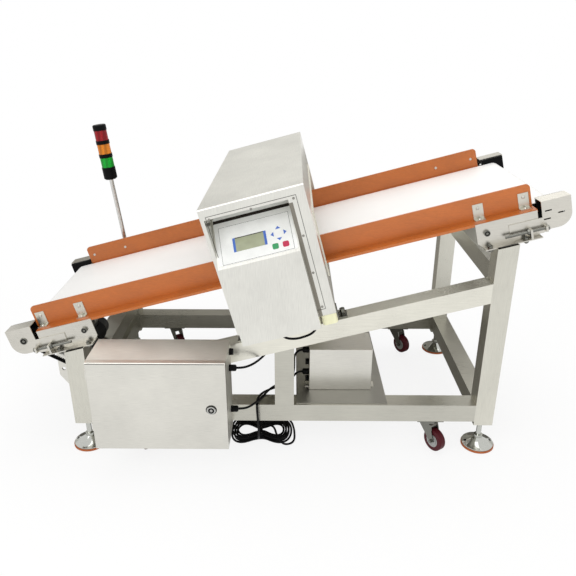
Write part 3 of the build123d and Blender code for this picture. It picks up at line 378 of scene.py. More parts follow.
def piece(name, build, finish, body="base"):
    """A new piece that rides on a body, from a function that fills a bmesh."""
    same_spot = 1e-7
    work = bmesh.new()
    build(work)
    bmesh.ops.remove_doubles(work, verts=work.verts, dist=same_spot)
    bmesh.ops.recalc_face_normals(work, faces=work.faces)
    made = put_mesh(name, work, finish)
    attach(made, body)
    return made


def facing(point, right, outward):
    """A matrix at a point with local x to the right and local z outward."""
    z = Vector(outward).normalized()
    x = Vector(right).normalized()
    made = Matrix((x, z.cross(x), z)).transposed().to_4x4()
    made.translation = point
    return made


def lathe(work, profile, spin, steps=18):
    """Turns a profile of (radius, height) about the local z of the matrix spin; a profile that ends where
    it starts gives a ring, and any other gets a flat underside."""
    rings = []
    for radius, level in profile:
        turns = [2 * pi * k / steps for k in range(steps if radius else 1)]
        rings.append([work.verts.new(spin @ Vector((radius * cos(turn), radius * sin(turn), level)))
                      for turn in turns])
    for low, high in zip(rings, rings[1:]):
        for k in range(steps):
            after = (k + 1) % steps
            corners = [low[k % len(low)], low[after % len(low)], high[after % len(high)], high[k % len(high)]]
            work.faces.new(list(dict.fromkeys(corners)))
    if profile[0] != profile[-1]:
        work.faces.new(rings[0][::-1])


def button_screw(work, spin, radius, rise):
    """Button-head screw with a round recess."""
    lathe(work, [(radius, 0), (radius, rise * 0.45), (radius * 0.82, rise * 0.9), (radius * 0.5, rise),
                 (radius * 0.48, rise * 0.45), (0, rise * 0.45)], spin)


def groove(work, spin, inner_r, outer_r):
    """A dark ring laid on a surface: painted shade, as in the groove round a socket."""
    start = (inner_r, 0)
    lathe(work, [start, (outer_r, 0), (outer_r, LAID_ON), (inner_r, LAID_ON), start], spin, steps=24)


def flat_ring(work, spin, corners, z):
    """New vertices at corners in the local x and y in millimetres, at a local z in metres."""
    return [work.verts.new(spin @ Vector((x / 1000, y / 1000, z))) for x, y in corners]


def slab(work, spin, corners, depth):
    """A flat plate: corners in millimetres, depth in metres."""
    low, high = (flat_ring(work, spin, corners, z) for z in (0, depth))
    work.faces.new(low[::-1])
    work.faces.new(high)
    for k in range(len(low)):
        after = (k + 1) % len(low)
        work.faces.new([low[k], low[after], high[after], high[k]])


def oblong(width, tall, x=0.0, y=0.0):
    """Corners of a rectangle round a middle."""
    return [(x + i * width / 2, y + j * tall / 2) for i, j in ((-1, -1), (1, -1), (1, 1), (-1, 1))]


def close_round(work, rings):
    """Faces from each ring of vertices to the next, and from the last to the first."""
    for ring, following in zip(rings, rings[1:] + rings[:1]):
        for k in range(len(ring)):
            after = (k + 1) % len(ring)
            work.faces.new([ring[k], ring[after], following[after], following[k]])


def window_plate(work, spin, outer, inner, depth):
    """A flat plate with a window: as many inner corners as outer ones, in millimetres."""
    close_round(work, [flat_ring(work, spin, corners, z) for corners, z in
                       ((outer, 0), (outer, depth), (inner, depth), (inner, 0))])


def seen_or_mirrored(tree):
    """A node that gives 1 for what the camera, a mirror or glass sees, and 0 for light on matt surfaces."""
    rays = node(tree, "LightPath")
    mirrored = node(tree, "Math", {0: rays.outputs["Is Glossy Ray"], 1: rays.outputs["Is Transmission Ray"]},
                    operation="MAXIMUM")
    return node(tree, "Math", {0: rays.outputs["Is Camera Ray"], 1: mirrored}, operation="MAXIMUM")


class DETECTOR_OT_stage(Operator):
    """Floor, reflecting cards, soft light and the camera"""
    bl_idname = "detector.stage"
    bl_label = "Stage"

    sensor_mm, far_clip = 36.0, 100.0
    # The floor's size and level, and the share of plain white near the machine, which grows to 1 far off
    floor_wide, floor_level = 40.0, -0.0005
    near, far, near_white = 0.9, 1.9, 0.84
    # Each card's name, colour, place, tilt in degrees, width and height
    cards = (("low_back_card", "#96938C", (0, 0.8, 0.4), 90, 3.0, 0.8),
             ("high_back_card", "#DDDCD8", (0, 2.4, 1.9), 90, 8.0, 2.2),
             ("under_card", "#6A6862", (0, 0.27, 0.001), 0, 2.2, 1.06))
    # Each lamp's name, place, size and watts, and the point that they face
    lamps = (("key", (-1.6, -2.6, 2.6), 2.2, 36), ("fill", (0.9, -2.9, 0.9), 2.0, 20),
             ("top", (0.2, 0.4, 3.2), 2.6, 30), ("rim", (0.6, 2.6, 2.0), 2.0, 14))
    lamp_aim = Vector((0, 0, 0.45))
    room_light, room_strength = (0.72, 0.72, 0.71, 1.0), 0.8

    def execute(self, context):
        scene = context.scene
        view = scene.detector_camera
        scene.view_settings.view_transform = "Standard"
        data = bpy.data.cameras.new("camera")
        data.lens = view.lens
        data.sensor_width = self.sensor_mm
        data.sensor_fit = "HORIZONTAL"
        data.clip_end = self.far_clip
        camera = put("camera", data)
        ahead = Vector((sin(view.yaw) * cos(view.pitch), cos(view.yaw) * cos(view.pitch), -sin(view.pitch)))
        camera.matrix_world = facing(Vector(view.place), (cos(view.yaw), -sin(view.yaw), 0), -ahead)
        scene.camera = camera
        self.lay_floor()
        self.stand_cards()
        self.light(scene)
        return {"FINISHED"}

    def sheet(self, name, place, tilt, width, tall, paint):
        """A flat stage sheet."""
        work = bmesh.new()
        work.faces.new([work.verts.new((x, y, 0)) for x, y in oblong(width, tall)])
        made = put_mesh(name, work, paint)
        made.location = place
        made.rotation_euler = (radians(tilt), 0, 0)
        return made

    def lay_floor(self):
        """A matt white floor that keeps a soft shadow near the machine and is plain white farther off."""
        paint, tree, shader = material("matt white studio floor", linear("#FFFFFF"), 0.0, 0.8)
        place = node(tree, "TexCoord").outputs["Object"]
        away = node(tree, "VectorMath", {0: place}, operation="LENGTH")
        share = node(tree, "MapRange", {"Value": away.outputs["Value"], "From Min": self.near,
                                        "From Max": self.far, "To Min": self.near_white})
        part = node(tree, "Math", {0: seen_or_mirrored(tree), 1: share}, operation="MULTIPLY")
        glow = node(tree, "Emission", {"Color": linear("#FFFFFF")})
        node(tree, "MixShader", {0: part, 1: shader, 2: glow},
             to=tree.nodes["Material Output"].inputs["Surface"])
        self.sheet("floor", (0, 0, self.floor_level), 0, self.floor_wide, self.floor_wide, paint)

    def stand_cards(self):
        """Grey cards that only polished surfaces see, so that steel faces turn darker by their tilt."""
        for name, code, place, tilt, width, tall in self.cards:
            paint, tree, _ = material("matt card, " + name, linear(code), 0.0, 0.9)
            node(tree, "Emission", {"Color": linear(code)}, to=tree.nodes["Material Output"].inputs["Surface"])
            card = self.sheet(name, place, tilt, width, tall, paint)
            card.visible_camera = card.visible_diffuse = False
            card.visible_shadow = card.visible_transmission = False

    def light(self, scene):
        """A pale room that shows white, and four soft lamps."""
        world = bpy.data.worlds.new("studio")
        world.use_nodes = True
        scene.world = world
        tree = world.node_tree
        tree.nodes.clear()
        room = node(tree, "Background", {"Color": self.room_light, "Strength": self.room_strength})
        white = node(tree, "Background", {"Color": linear("#FFFFFF")})
        mix = node(tree, "MixShader", {0: seen_or_mirrored(tree), 1: room, 2: white})
        node(tree, "OutputWorld", {"Surface": mix})
        for name, spot, size, watts in self.lamps:
            lamp = bpy.data.lights.new(name, "AREA")
            lamp.size = size
            lamp.energy = watts
            made = put(name, lamp)
            made.location = spot
            made.rotation_euler = (self.lamp_aim - Vector(spot)).to_track_quat("-Z", "Y").to_euler()
            # The low front lamp lights the recessed panel, and polished steel doesn't mirror it
            made.visible_glossy = name != "fill"


class DETECTOR_OT_frame(Operator):
    """Welded frame, shelf and boxes in stainless"""
    bl_idname = "detector.frame"
    bl_label = "Frame and boxes"

    def execute(self, context):
        tones, sizes = settings()
        tube_grain, sheet_grain = (40.0, 1.6, 1.2), (30.0, 1.2, 1.2)
        coat(["legs"], stainless("stainless tube, linished upright", tones.steel, (1.2, 1.2, 40.0)))
        # One tube steel in two copies: the base rails' copy is darkened as painted shade, and the inclined
        # rails' copy lightened as painted light
        coat(["base_rails"], stainless("stainless tube with painted shade, linished along", shade(tones.steel, 0.8), tube_grain))
        coat(["inclined_rails"],
             stainless("stainless tube with painted light, linished along", shade(tones.steel, 1.2), tube_grain))
        # The shelf's sheet colour is darkened, partly as the grey of a dull mill finish and partly as painted
        # shade, and bead-blasted sheet blurs what it mirrors
        coat(["shelf_tray"],
             stainless("shelf sheet with painted shade, dull mill finish", shade(tones.sheet, 0.55), sheet_grain, 0.4))
        coat(["control_box_door", "drive_box", "motor_mount"],
             stainless("stainless sheet, brushed along", tones.sheet, sheet_grain, 0.34))
        coat(["control_box"], stainless("box sheet, brushed and bead-blasted", tones.sheet, sheet_grain, 0.5))
        soften(["legs", "base_rails", "inclined_rails"], sizes.tube_corner, 3)
        soften(["control_box", "drive_box", "shelf_tray"], sizes.sheet_corner / 2)
        coat(["box_components"], moulded("grey switchgear moulding", linear("#A9ACAE"), 0.5))
        coat(["door_lock"], plated("chromed zinc lock", linear("#BDBDB9"), 0.2))
        self.mark_door(black_moulding("painted shade on the door and lock", linear("#141414")))
        return {"FINISHED"}

    def mark_door(self, door_shade):
        """Painted shade on the door: a dark ring for the groove in the lock's face, a dark ring round the lock
        where it meets the door, and a dark line of painted shadow along the door's top edge, under the box's
        edge.
        """
        groove_r, rim_shade_gaps, line_tall, line_drop = (0.0045, 0.0092), (0.0006, 0.0032), 1.6, 0.0038
        # The hinges widen the door's box at the left by hinge_wide, and the edge's rounding takes edge_mm
        hinge_wide, edge_mm = 0.0093, 2.4
        low, high = ends("door_lock")
        door_low, door_high = ends("control_box_door")
        lock_r = (high.x - low.x) / 2
        lock = Vector((low.x + lock_r, low.y, high.z - lock_r))
        rim_shade = Vector((lock.x, door_low.y, lock.z))
        line = Vector(((door_low.x + hinge_wide + door_high.x) / 2, door_low.y, door_high.z - line_drop))
        line_wide = (door_high.x - door_low.x - hinge_wide) * 1000 - 2 * edge_mm
        at_lock, at_rim_shade, at_line = (facing(point, (1, 0, 0), FRONT) for point in (lock, rim_shade, line))
        rim_shade_r = [lock_r + gap for gap in rim_shade_gaps]
        strip = oblong(line_wide, line_tall)
        piece("lock_groove", lambda work: groove(work, at_lock, *groove_r), door_shade, "door_lock")
        piece("lock_rim_shade", lambda work: groove(work, at_rim_shade, *rim_shade_r), door_shade, "control_box_door")
        piece("door_top_shadow_line", lambda work: slab(work, at_line, strip, LAID_ON), door_shade, "control_box_door")


class DETECTOR_OT_feet(Operator):
    """Levelling feet and castors"""
    bl_idname = "detector.feet"
    bl_label = "Feet and castors"

    def execute(self, context):
        tones = context.scene.detector_colours
        ring_top, hub_r = 0.008, 0.0225
        castor_turn = radians(34)
        axle = Vector((cos(castor_turn), sin(castor_turn), 0))
        foot = two_part("chromed bell on a rubber ring", height, ring_top,
                        (tones.foot_ring, 0.0, 0.6), (linear("#C6C7C1"), 1.0, 0.1))
        zinc = plated("zinc plated pressing", linear("#7E7E78"), 0.24)
        for corner in ("fl", "fr", "rl", "rr"):
            wheel = "castor_wheel_" + corner
            coat(["foot_" + corner], foot)
            coat(["castor_fork_" + corner], zinc)
            coat([wheel], two_part("polyurethane tread on a die-cast hub, " + corner,
                                   off_axle(middle(wheel), axle), hub_r, (linear("#A5A6A4"), 0.7, 0.4),
                                   (tones.tread, 0.0, 0.45)))
            self.flange_holes("foot_" + corner)
        coat(["castor_plates", "fasteners"], zinc)
        return {"FINISHED"}

    def flange_holes(self, name):
        """Two screw holes in a foot's flange, shown as dark discs of painted shade set on the bell."""
        hole_r, hole_reach, over_foot = 0.0048, 0.041, 0.2
        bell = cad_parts[name]
        centre = middle(name)
        depsgraph = bpy.context.evaluated_depsgraph_get()

        def holes(work):
            for side in (-1, 1):
                above = Vector((centre.x + side * hole_reach, centre.y, over_foot))
                hit, spot, normal, _ = bell.ray_cast(above, (0, 0, -1), depsgraph=depsgraph)
                if not hit:
                    raise RuntimeError("no flange under the screw hole of " + name)
                lathe(work, [(hole_r, 0), (hole_r, LAID_ON), (0, LAID_ON)],
                      facing(spot, BACK.cross(normal), normal))
        piece(name + "_holes", holes, black_moulding("painted shade of a screw hole", linear("#121212")), name)


class DETECTOR_OT_conveyor(Operator):
    """Guards, bed, belt, rollers, end housings and the toothed drive"""
    bl_idname = "detector.conveyor"
    bl_label = "Conveyor"

    # Bracket centres along the slope, the front guard's faces, where the screws sit and their rise as a
    # share of their radius, and how far edges are rounded
    bracket_u = (-816.0, -686.0, 553.0, 683.0)
    bracket_face_y, guard_inner_y, ledge_y = 73.5, 82.0, 64.5
    screw_v, ledge_top_v, screw_rise = 4.0, -27.2, 0.7
    guard_edge, plate_edge = 0.0012, 0.0006
    # End screw of the drive shaft and caps of the return rollers: place on the front, and the radii of the
    # groove's dark ring, which is painted shade
    sockets = ((-878.0, 29.5, -51.0, 0.0042, 0.0088), (-680.0, 27.5, -62.0, 0.0036, 0.0072),
               (559.0, 27.5, -62.0, 0.0036, 0.0072))

    def execute(self, context):
        tones, sizes = settings()
        coat(["slider_bed", "side_guards"], phenolic_board(tones.phenolic))
        coat(["conveyor_belt"], belt_cover(tones.belt))
        coat(["side_plates", "end_housings"],
             stainless("stainless plate, brushed along the slope", tones.plate, (30.0, 1.4, 1.4)))
        coat(["guard_brackets"], stainless("stainless angle, brushed", tones.steel, (1.4, 1.4, 20.0)))
        soften(["side_guards"], self.guard_edge)
        soften(["guard_brackets", "end_housings"], self.plate_edge)
        coat(["drive_roller", "idler_roller", "return_roller_left", "return_roller_right"],
             stainless("turned steel roller", linear("#B5B3AE"), (0.8, 12.0, 0.8), 0.28))
        coat(["motor_pulley"], plated("machined aluminium", linear("#BDBDBA"), 0.32))
        coat(["timing_belt"], black_moulding("black neoprene toothed belt", tones.black, 0.55))
        coat(["bearing_plates"], black_moulding("black nylon bearing block", tones.black, 0.42))
        coat(["gear_motor"], moulded("motor enamel", tones.motor, 0.34, 2.2))

        def screws(work):
            for u in self.bracket_u:
                for to_side, right, outward in SIDES:
                    for y, v, screw_right, screw_out in (
                            (self.bracket_face_y, self.screw_v, right, outward),
                            (self.guard_inner_y, self.screw_v, -right, -outward),
                            (self.ledge_y, self.ledge_top_v, SLOPE_RIGHT, SLOPE_UP)):
                        button_screw(work, facing(on_slope(u, to_side(y), v), screw_right, screw_out),
                                     sizes.screw_r, self.screw_rise * sizes.screw_r)
        piece("guard_screws", screws, plated("stainless button screw", linear("#D6D4CD"), 0.3))

        def grooves(work):
            for u, y, v, inner_r, outer_r in self.sockets:
                for to_side, right, outward in SIDES:
                    groove(work, facing(on_slope(u, to_side(y), v), right, outward), inner_r, outer_r)
        piece("shaft_socket_grooves", grooves, black_moulding("painted shade of a socket groove", linear("#1B1A19")))
        return {"FINISHED"}


class DETECTOR_OT_head(Operator):
    """Detector head: sheet, liner, seams, screws and pads"""
    bl_idname = "detector.head"
    bl_label = "Detector head"

    # The removable frame on the head's front face
    left, right, low, top, front_y = -184.0, 63.5, -124.0, 214.0, -83.0
    screw_inset, side_screws_v, screw_rise = 8.0, (100.0, -10.0), 0.55
    # The rebate beside the cover, a darker strip of painted shade: from and to along the slope, then square to
    # it
    rebate = (40.3, 51.0, -144.0, 196.0)
    grain = (1.4, 34.0, 34.0)

    def on_front(self, u, v):
        """A matrix on the head's front face."""
        return facing(on_slope(u, self.front_y, v), SLOPE_RIGHT, FRONT)

    def execute(self, context):
        tones, sizes = settings()
        coat(["head_shell", "head_cover"],
             stainless("head sheet, brushed upright", tones.head, self.grain, 0.34))
        soften(["head_cover"], sizes.sheet_corner, 3)
        coat(["aperture_liner"], moulded("pale glass-fibre liner", linear("#D8D5C8"), 0.5))
        coat(["head_pads"], moulded("cast nylon", tones.nylon, 0.45))
        left, right, low, top = self.left, self.right, self.low, self.top
        seam_mm = sizes.seam * 1000

        # The seams are dark strips laid on the front face: painted shade in the gaps round the frame
        def seams(work):
            for u0, u1, v0, v1 in ((left, right, top, top), (left, right, low, low), (left, left, low, top),
                                   (right, right, low, top)):
                slab(work, self.on_front((u0 + u1) / 2, (v0 + v1) / 2),
                     oblong(max(u1 - u0, seam_mm), max(v1 - v0, seam_mm)), LAID_ON)
        piece("head_frame_seams", seams, moulded("painted shade of the frame seams", linear("#3A3733"), 0.8))

        u0, u1, v0, v1 = self.rebate
        rebate_mid = self.on_front((u0 + u1) / 2, (v0 + v1) / 2)
        piece("cover_rebate", lambda work: slab(work, rebate_mid, oblong(u1 - u0, v1 - v0), LAID_ON),
              stainless("stainless with painted shade of the rebate", linear("#8D897F"), self.grain, 0.4))

        def screws(work):
            inset, radius = self.screw_inset, sizes.frame_screw_r
            u0, u1, v0, v1 = left + inset, right - inset, low + inset, top - inset
            for u, v in ((u0, v1), ((left + right) / 2, v1), (u1, v1), *((u1, v) for v in self.side_screws_v),
                         (u1, v0), (u0, v0)):
                button_screw(work, self.on_front(u, v), radius, self.screw_rise * radius)
        piece("head_frame_screws", screws, plated("stainless screw", linear("#A09E98"), 0.28))
        return {"FINISHED"}


class DETECTOR_OT_panel(Operator):
    """Key panel: film, screen, arrow marks and keys"""
    bl_idname = "detector.panel"
    bl_label = "Key panel"

    # The slanted panel: its middle, its crease, its rise for each step back, and how far its plate and its
    # keys stand out
    mid_u, crease_y, crease_v = -75.0, -110.0, 70.0
    step_back, step_up = 105.0, 98.0
    film_top, key_top = 1.6, 2.8
    # On it, a to the right and b up from the crease: the screen, its borders and the painted shadow along its
    # top edge, the keys and their arrows
    screen_a, screen_b, screen_width, screen_tall = -16.0, 64.0, 95.0, 44.0
    border_width, lip_tall = 7.0, 2.6
    keys_a, keys_b, keys_pitch = 66.0, 67.0, 17.0
    arrow_width, arrow_tall, arrow_out = 15.0, 8.6, 1.4
    # The printed film on the panel's plate, its dark edge, and the gap above the plate; the edge and the gap
    # are dark slabs of painted shade
    film_a, film_b, film_width, film_tall = 1.5, 69.0, 199.0, 116.0
    film_thick, film_edge = 0.3, 0.8
    gap_b, gap_width, gap_tall = 149.0, 222.0, 10.0

    def on_panel(self, a, b, out):
        """A matrix on the panel, a to the right and b up from its crease, in millimetres."""
        up = SLOPE_TURN @ Vector((0, self.step_back, self.step_up)).normalized()
        outward = SLOPE_RIGHT.cross(up)
        point = on_slope(self.mid_u, self.crease_y, self.crease_v)
        return facing(point + (SLOPE_RIGHT * a + up * b + outward * out) / 1000, SLOPE_RIGHT, outward)

    def execute(self, context):
        tones, sizes = settings()
        film_grain = 0.8
        film = moulded("printed polyester film", tones.film, 0.4, film_grain)
        coat(["key_up", "key_down", "key_left", "key_right"], film)
        # Bead-blasted stainless scatters light like a pale paint, with only a little mirror left
        coat(["panel_overlay"], worked_surface("console plate, bead-blasted stainless", tones.film, 0.5,
                                               (0.8,) * 3, (60.0,) * 3, (0.92, 1.0), 0.1, 0.02, 0.25))
        coat(["key_start"], moulded("green polyester key", tones.key_green, 0.35, film_grain))
        coat(["key_stop"], moulded("red polyester key", tones.key_red, 0.35, film_grain))
        coat(["display"], screen_glass(tones.screen))
        blue = moulded("blue screen print", tones.mark_blue, 0.4, film_grain)

        dark = black_moulding("painted shade of the console's gaps", linear("#2B2723"), 0.7)
        window = oblong(self.screen_width, self.screen_tall, self.screen_a - self.film_a,
                        self.screen_b - self.film_b)
        on_film = self.on_panel(self.film_a, self.film_b, self.film_top)
        outline = oblong(self.film_width, self.film_tall)
        edge = oblong(self.film_width + 2 * self.film_edge, self.film_tall + 2 * self.film_edge)
        thick = self.film_thick / 1000
        piece("panel_film", lambda work: window_plate(work, on_film, outline, window, thick), film)
        # The edge lies half as high as the film, so only its rim shows
        piece("panel_film_edge", lambda work: window_plate(work, on_film, edge, window, thick / 2), dark)
        on_gap, gap = self.on_panel(0, self.gap_b, 0), oblong(self.gap_width, self.gap_tall)
        gap_thick = self.film_top / 1000 + thick
        piece("panel_top_gap", lambda work: slab(work, on_gap, gap, gap_thick), dark)

        def borders(work):
            for side in (-1, 1):
                a = self.screen_a + side * (self.screen_width - self.border_width) / 2
                slab(work, self.on_panel(a, self.screen_b, self.film_top),
                     oblong(self.border_width, self.screen_tall), sizes.print_height)
        piece("screen_borders", borders, blue)

        # A dark strip of painted shadow along the screen's top edge, where its window is recessed
        def lip(work):
            b = self.screen_b + (self.screen_tall - self.lip_tall) / 2
            slab(work, self.on_panel(self.screen_a, b, self.film_top),
                 oblong(self.screen_width - 2 * self.border_width, self.lip_tall), sizes.print_height)
        piece("screen_top_shadow", lip, moulded("painted shadow under the screen's top edge", linear("#3C403C"), 0.6))

        for name, quarter in (("key_up", 0), ("key_left", 1), ("key_down", 2), ("key_right", 3)):
            turn = Matrix.Rotation(radians(90 * quarter), 4, "Z")
            shift = turn @ Vector((0, self.keys_pitch, 0))
            spin = self.on_panel(self.keys_a + shift.x, self.keys_b + shift.y, self.key_top) @ turn
            base = self.arrow_out - self.arrow_tall / 2

            def arrow(work, spin=spin):
                slab(work, spin, [(-self.arrow_width / 2, base), (self.arrow_width / 2, base),
                                  (0, base + self.arrow_tall)], sizes.print_height)
            piece(name + "_arrow", arrow, blue, name)
        return {"FINISHED"}


class DETECTOR_OT_tower(Operator):
    """Signal tower"""
    bl_idname = "detector.tower"
    bl_label = "Signal tower"

    def execute(self, context):
        tones = context.scene.detector_colours
        coat(["tower_housing"], black_moulding("black ABS", tones.black, 0.38))
        coat(["tower_pole"], plated("aluminium pole", linear("#D6D5D1"), 0.3))
        for name in ("lens_red", "lens_amber", "lens_green"):
            coat([name], ribbed_lens("ribbed acrylic lens, " + name[5:], getattr(tones, name)))
        return {"FINISHED"}


def cord_line(name, points, diameter, finish):
    """A cord as one smooth spline along its control points, given in machine millimetres."""
    line = bpy.data.curves.new(name, "CURVE")
    line.dimensions = "3D"
    line.bevel_depth = diameter / 2
    line.bevel_resolution = 4
    line.use_fill_caps = True
    line.resolution_u = 8
    spline = line.splines.new("NURBS")
    spline.points.add(len(points) - 1)
    for spot, point in zip(spline.points, points):
        spot.co = (*at(*point), 1.0)
    spline.order_u = 3
    spline.use_endpoint_u = True
    line.materials.append(finish)
    made = put(name, line)
    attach(made, "base")
    return made


def run_length(cord):
    """The length of a cord's own line, in metres."""
    bare = cord.data.copy()
    bare.bevel_depth = 0.0
    bare.use_fill_caps = False
    holder = bpy.data.objects.new("measure", bare)
    line = bpy.data.meshes.new_from_object(holder)
    spots = [v.co for v in line.vertices]
    total = sum((b - a).length for a, b in zip(spots, spots[1:]))
    bpy.data.meshes.remove(line)
    bpy.data.objects.remove(holder)
    bpy.data.curves.remove(bare)
    return total


def under_head(u, y, drop):
    """A point below the head's bottom, in machine millimetres."""
    return slope_mm(u, y, HEAD_BOTTOM_V - drop)


class DETECTOR_OT_cables(Operator):
    """Control cables and glands"""
    bl_idname = "detector.cables"
    bl_label = "Control cables"

    # From the control box up to the head, from the control box to the drive box, and the loop under the head
    routes = {
        "head_cable": [
            (-178, -52.07, 335), (-156, -52.07, 335), (-137, -47, 336), (-118, -31, 337), (-101, -5, 337),
            (-86, 25, 338), (-74, 53, 343), (-65, 77, 356), (-59, 94, 375), (-55, 103, 398), (-52, 107, 424),
            under_head(-101, 108, 34), under_head(-101, 108, 12)],
        "drive_cable": [
            (-178, -40, 182), (-156, -40, 182), (-136, -36, 185), (-112, -16, 191), (-94, 14, 193),
            (-80, 46, 192), (-64, 76, 190), (-38, 94, 191), (-12, 102, 198), (2, 108, 216), (6, 114, 239),
            (6, 119, 260), (6, 124, 278), (14, 127, 292), (28, 128, 300), (43, 128, 300)],
        "loop_cable": [under_head(u, -70, drop) for u, drop in (
            (-82, 12), (-82, 28), (-74, 44), (-58, 53), (-38, 57), (-18, 56), (2, 53), (18, 44), (26, 28),
            (26, 12))]}

    def execute(self, context):
        tones, sizes = settings()
        coat(["cable_glands"], black_moulding("black nylon gland", tones.black, 0.36))
        jacket = black_moulding("black PVC cable jacket", linear("#0E0E10"), 0.4)
        for name, points in self.routes.items():
            cable = cord_line(name, points, sizes.cable, jacket)
            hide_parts("control_cables")
            at(*points[0])
            run_length(cable)
        return {"FINISHED"}


def between(table, step):
    """A value of a table at a step that may lie between two of its entries."""
    low = min(int(step), len(table) - 2)
    return table[low] + (table[low + 1] - table[low]) * (step - low)


def ease(share):
    """A smooth step from 0 to 1."""
    share = min(max(share, 0.0), 1.0)
    return share * share * (3 - 2 * share)


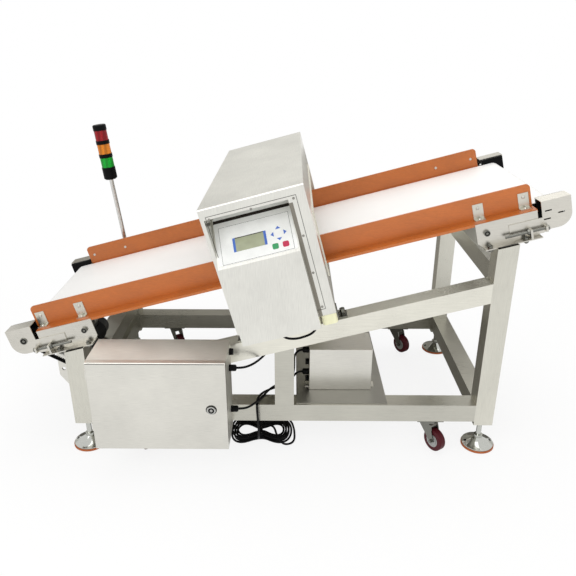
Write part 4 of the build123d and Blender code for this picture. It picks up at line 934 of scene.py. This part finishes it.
class DETECTOR_OT_mains(Operator):
    """Mains cord with its tied coil on the floor and its plug"""
    bl_idname = "detector.mains"
    bl_label = "Mains cord"

    # Out of the drive box, over the front rail, down to the floor and across the tied waist of the coil,
    # then round one loose turn at the right
    drop = [(43, 128, 218), (27, 128, 218), (13, 126, 213), (2, 122, 201), (-9, 116, 188), (-26, 108, 179),
            (-48, 97, 177), (-72, 82, 177), (-93, 63, 178), (-106, 40, 180), (-111, 18, 181), (-112, 1, 181),
            (-112, -14, 173), (-111, -22, 159), (-110, -23, 142), (-109, -21, 120), (-108, -17, 96),
            (-108, -11, 72), (-109, -2, 50), (-110, 11, 33), (-111, 28, 23), (-111, 46, 20), (-111, 64, 19.5),
            (-108, 84, 19.5), (-96, 101, 19.5), (-77, 104, 19.5), (-63, 92, 19.5), (-57, 72, 19.5),
            (-53, 52, 19.5), (-47, 36, 19), (-38, 24, 9), (-25, 18, 3.7), (-9, 20, 3.7), (2, 30, 3.7),
            (7, 45, 3.7), (8, 63, 3.7), (7.5, 81, 3.7)]
    # The coil's nested turns, outermost first: half its length, half its width at the lobes and the place
    # of its lanes at the waist
    coil_mid = (-106.0, 94.0)
    reach = (104.0, 95.0, 86.0, 77.5)
    swell = (67.0, 57.5, 48.0, 38.5)
    lane = (31.1, 22.0, 12.9, 3.8)
    loose_reach, loose_swell = 112.5, 76.0
    first_turn, last_turn, steps_per_turn = 0.26, 6.62, 20
    floor_level, next_level = 3.7, 7.4
    # Where each turn starts to move to the next lane, where the loose turn climbs on top and where the
    # coil steps down after its inward turns, each with its length, in turns
    jog, climb, step_down = (0.65, 0.2), (0.31, 0.12), (0.14, 0.22)
    loose_until = 0.5
    # The cord's end: how far behind the plug it leaves the floor, then how far back and down it is
    leave_back, leave_up = 36, 1
    tail = ((16, 5), (5, 0), (0.3, 0))

    def coil_point(self, turn):
        """A point of the coil: inward over its lanes on top, a step down, then outward below."""
        whole = int(turn)
        share = turn - whole
        inward_turns = len(self.reach) - 1
        jog = ease((share - self.jog[0]) / self.jog[1])
        nest = whole + jog if turn < inward_turns else 2 * inward_turns - whole - jog
        nest = min(max(nest, 0.0), inward_turns)
        side, ahead = sin(2 * pi * share), cos(2 * pi * share)
        loose = turn < self.loose_until
        reach = self.loose_reach if loose else between(self.reach, nest)
        swell = self.loose_swell if loose else between(self.swell, nest)
        lane = between(self.lane, nest)
        across = lane + (2 * swell - sqrt(2) * lane) * abs(side)
        climbed = ease((turn - self.climb[0]) / self.climb[1])
        stepped_down = ease((turn - inward_turns - self.step_down[0]) / self.step_down[1])
        rise = climbed if loose else 1 - stepped_down
        return (self.coil_mid[0] + reach * side, self.coil_mid[1] - ahead * across,
                self.floor_level + self.next_level * rise)

    def execute(self, context):
        thick = context.scene.detector_sizes.cord
        jacket = black_moulding("black rubber mains jacket", linear("#0D0D0E"), 0.42)
        coat(["mains_plug"], black_moulding("black moulded plug", linear("#101012"), 0.45))
        count = round((self.last_turn - self.first_turn) * self.steps_per_turn)
        turns = [self.coil_point(self.first_turn + (self.last_turn - self.first_turn) * k / count)
                 for k in range(count + 1)]
        low, high = ends("mains_plug")
        end = (Vector((high.x, (low.y + high.y) / 2, (low.z + high.z) / 2)) - HOME) * 1000
        leave = (end.x + self.leave_back, end.y, self.floor_level + self.leave_up)
        tail = [(end.x + back, end.y, end.z - down) for back, down in self.tail]
        points = self.drop + turns + [leave] + tail
        cord = cord_line("mains_lead", points, thick, jacket)
        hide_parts("mains_cord", "cord_hank")
        tie = self.tie()
        at(*points[0])
        run_length(cord)
        return {"FINISHED"}

    def tie(self):
        """A flat strap round the coil's waist."""
        strap_wide, strap_thick, corner_r, corner_steps = 9.0, 0.9, 5.0, 4
        # Room beside the outermost lane and above the upper turns, and the strap's height off the floor
        side_room, top_room, off_floor = 4.2, 0.6, 0.1
        mid_x, mid_y = self.coil_mid
        half_width = self.lane[0] + side_room
        top = self.floor_level * 2 + self.next_level + top_room

        def ring(gap):
            radius = corner_r + gap
            points = []
            for way_y, way_z, start in ((1, 1, 0), (-1, 1, 90), (-1, -1, 180), (1, -1, 270)):
                for k in range(corner_steps + 1):
                    turn = radians(start + 90 * k / corner_steps)
                    points.append((mid_y + way_y * (half_width - corner_r) + radius * cos(turn),
                                   top / 2 + way_z * (top / 2 - corner_r) + radius * sin(turn)))
            return points

        def strap(work):
            close_round(work, [[work.verts.new(at(mid_x + x * strap_wide / 2, y, max(z, off_floor)))
                                for y, z in ring(gap)]
                               for gap, x in ((0, -1), (0, 1), (strap_thick, 1), (strap_thick, -1))])
        woven = black_moulding("black woven strap", linear("#161617"), 0.6)
        return piece("cord_tie", strap, woven)


STEPS = (DETECTOR_OT_stage, DETECTOR_OT_frame, DETECTOR_OT_feet, DETECTOR_OT_conveyor, DETECTOR_OT_head,
         DETECTOR_OT_panel, DETECTOR_OT_tower, DETECTOR_OT_cables, DETECTOR_OT_mains)


class DETECTOR_PT_steps(Panel):
    """Lists the steps that dress the machine"""
    bl_idname = "DETECTOR_PT_steps"
    bl_label = "Conveyor metal detector"
    bl_space_type = "VIEW_3D"
    bl_region_type = "UI"
    bl_category = "Detector"

    def draw(self, context):
        for step in STEPS:
            self.layout.operator(step.bl_idname)


CLASSES = (DetectorColours, DetectorSizes, DetectorCamera) + STEPS + (DETECTOR_PT_steps,)


def register():
    for made in CLASSES:
        bpy.utils.register_class(made)
    bpy.types.Scene.detector_colours = PointerProperty(type=DetectorColours)
    bpy.types.Scene.detector_sizes = PointerProperty(type=DetectorSizes)
    bpy.types.Scene.detector_camera = PointerProperty(type=DetectorCamera)


def unregister():
    del bpy.types.Scene.detector_camera
    del bpy.types.Scene.detector_sizes
    del bpy.types.Scene.detector_colours
    for made in reversed(CLASSES):
        bpy.utils.unregister_class(made)


def main():
    register()
    for step in STEPS:
        group, name = step.bl_idname.split(".")
        getattr(getattr(bpy.ops, group), name)()


if __name__ == "__main__":
    main()
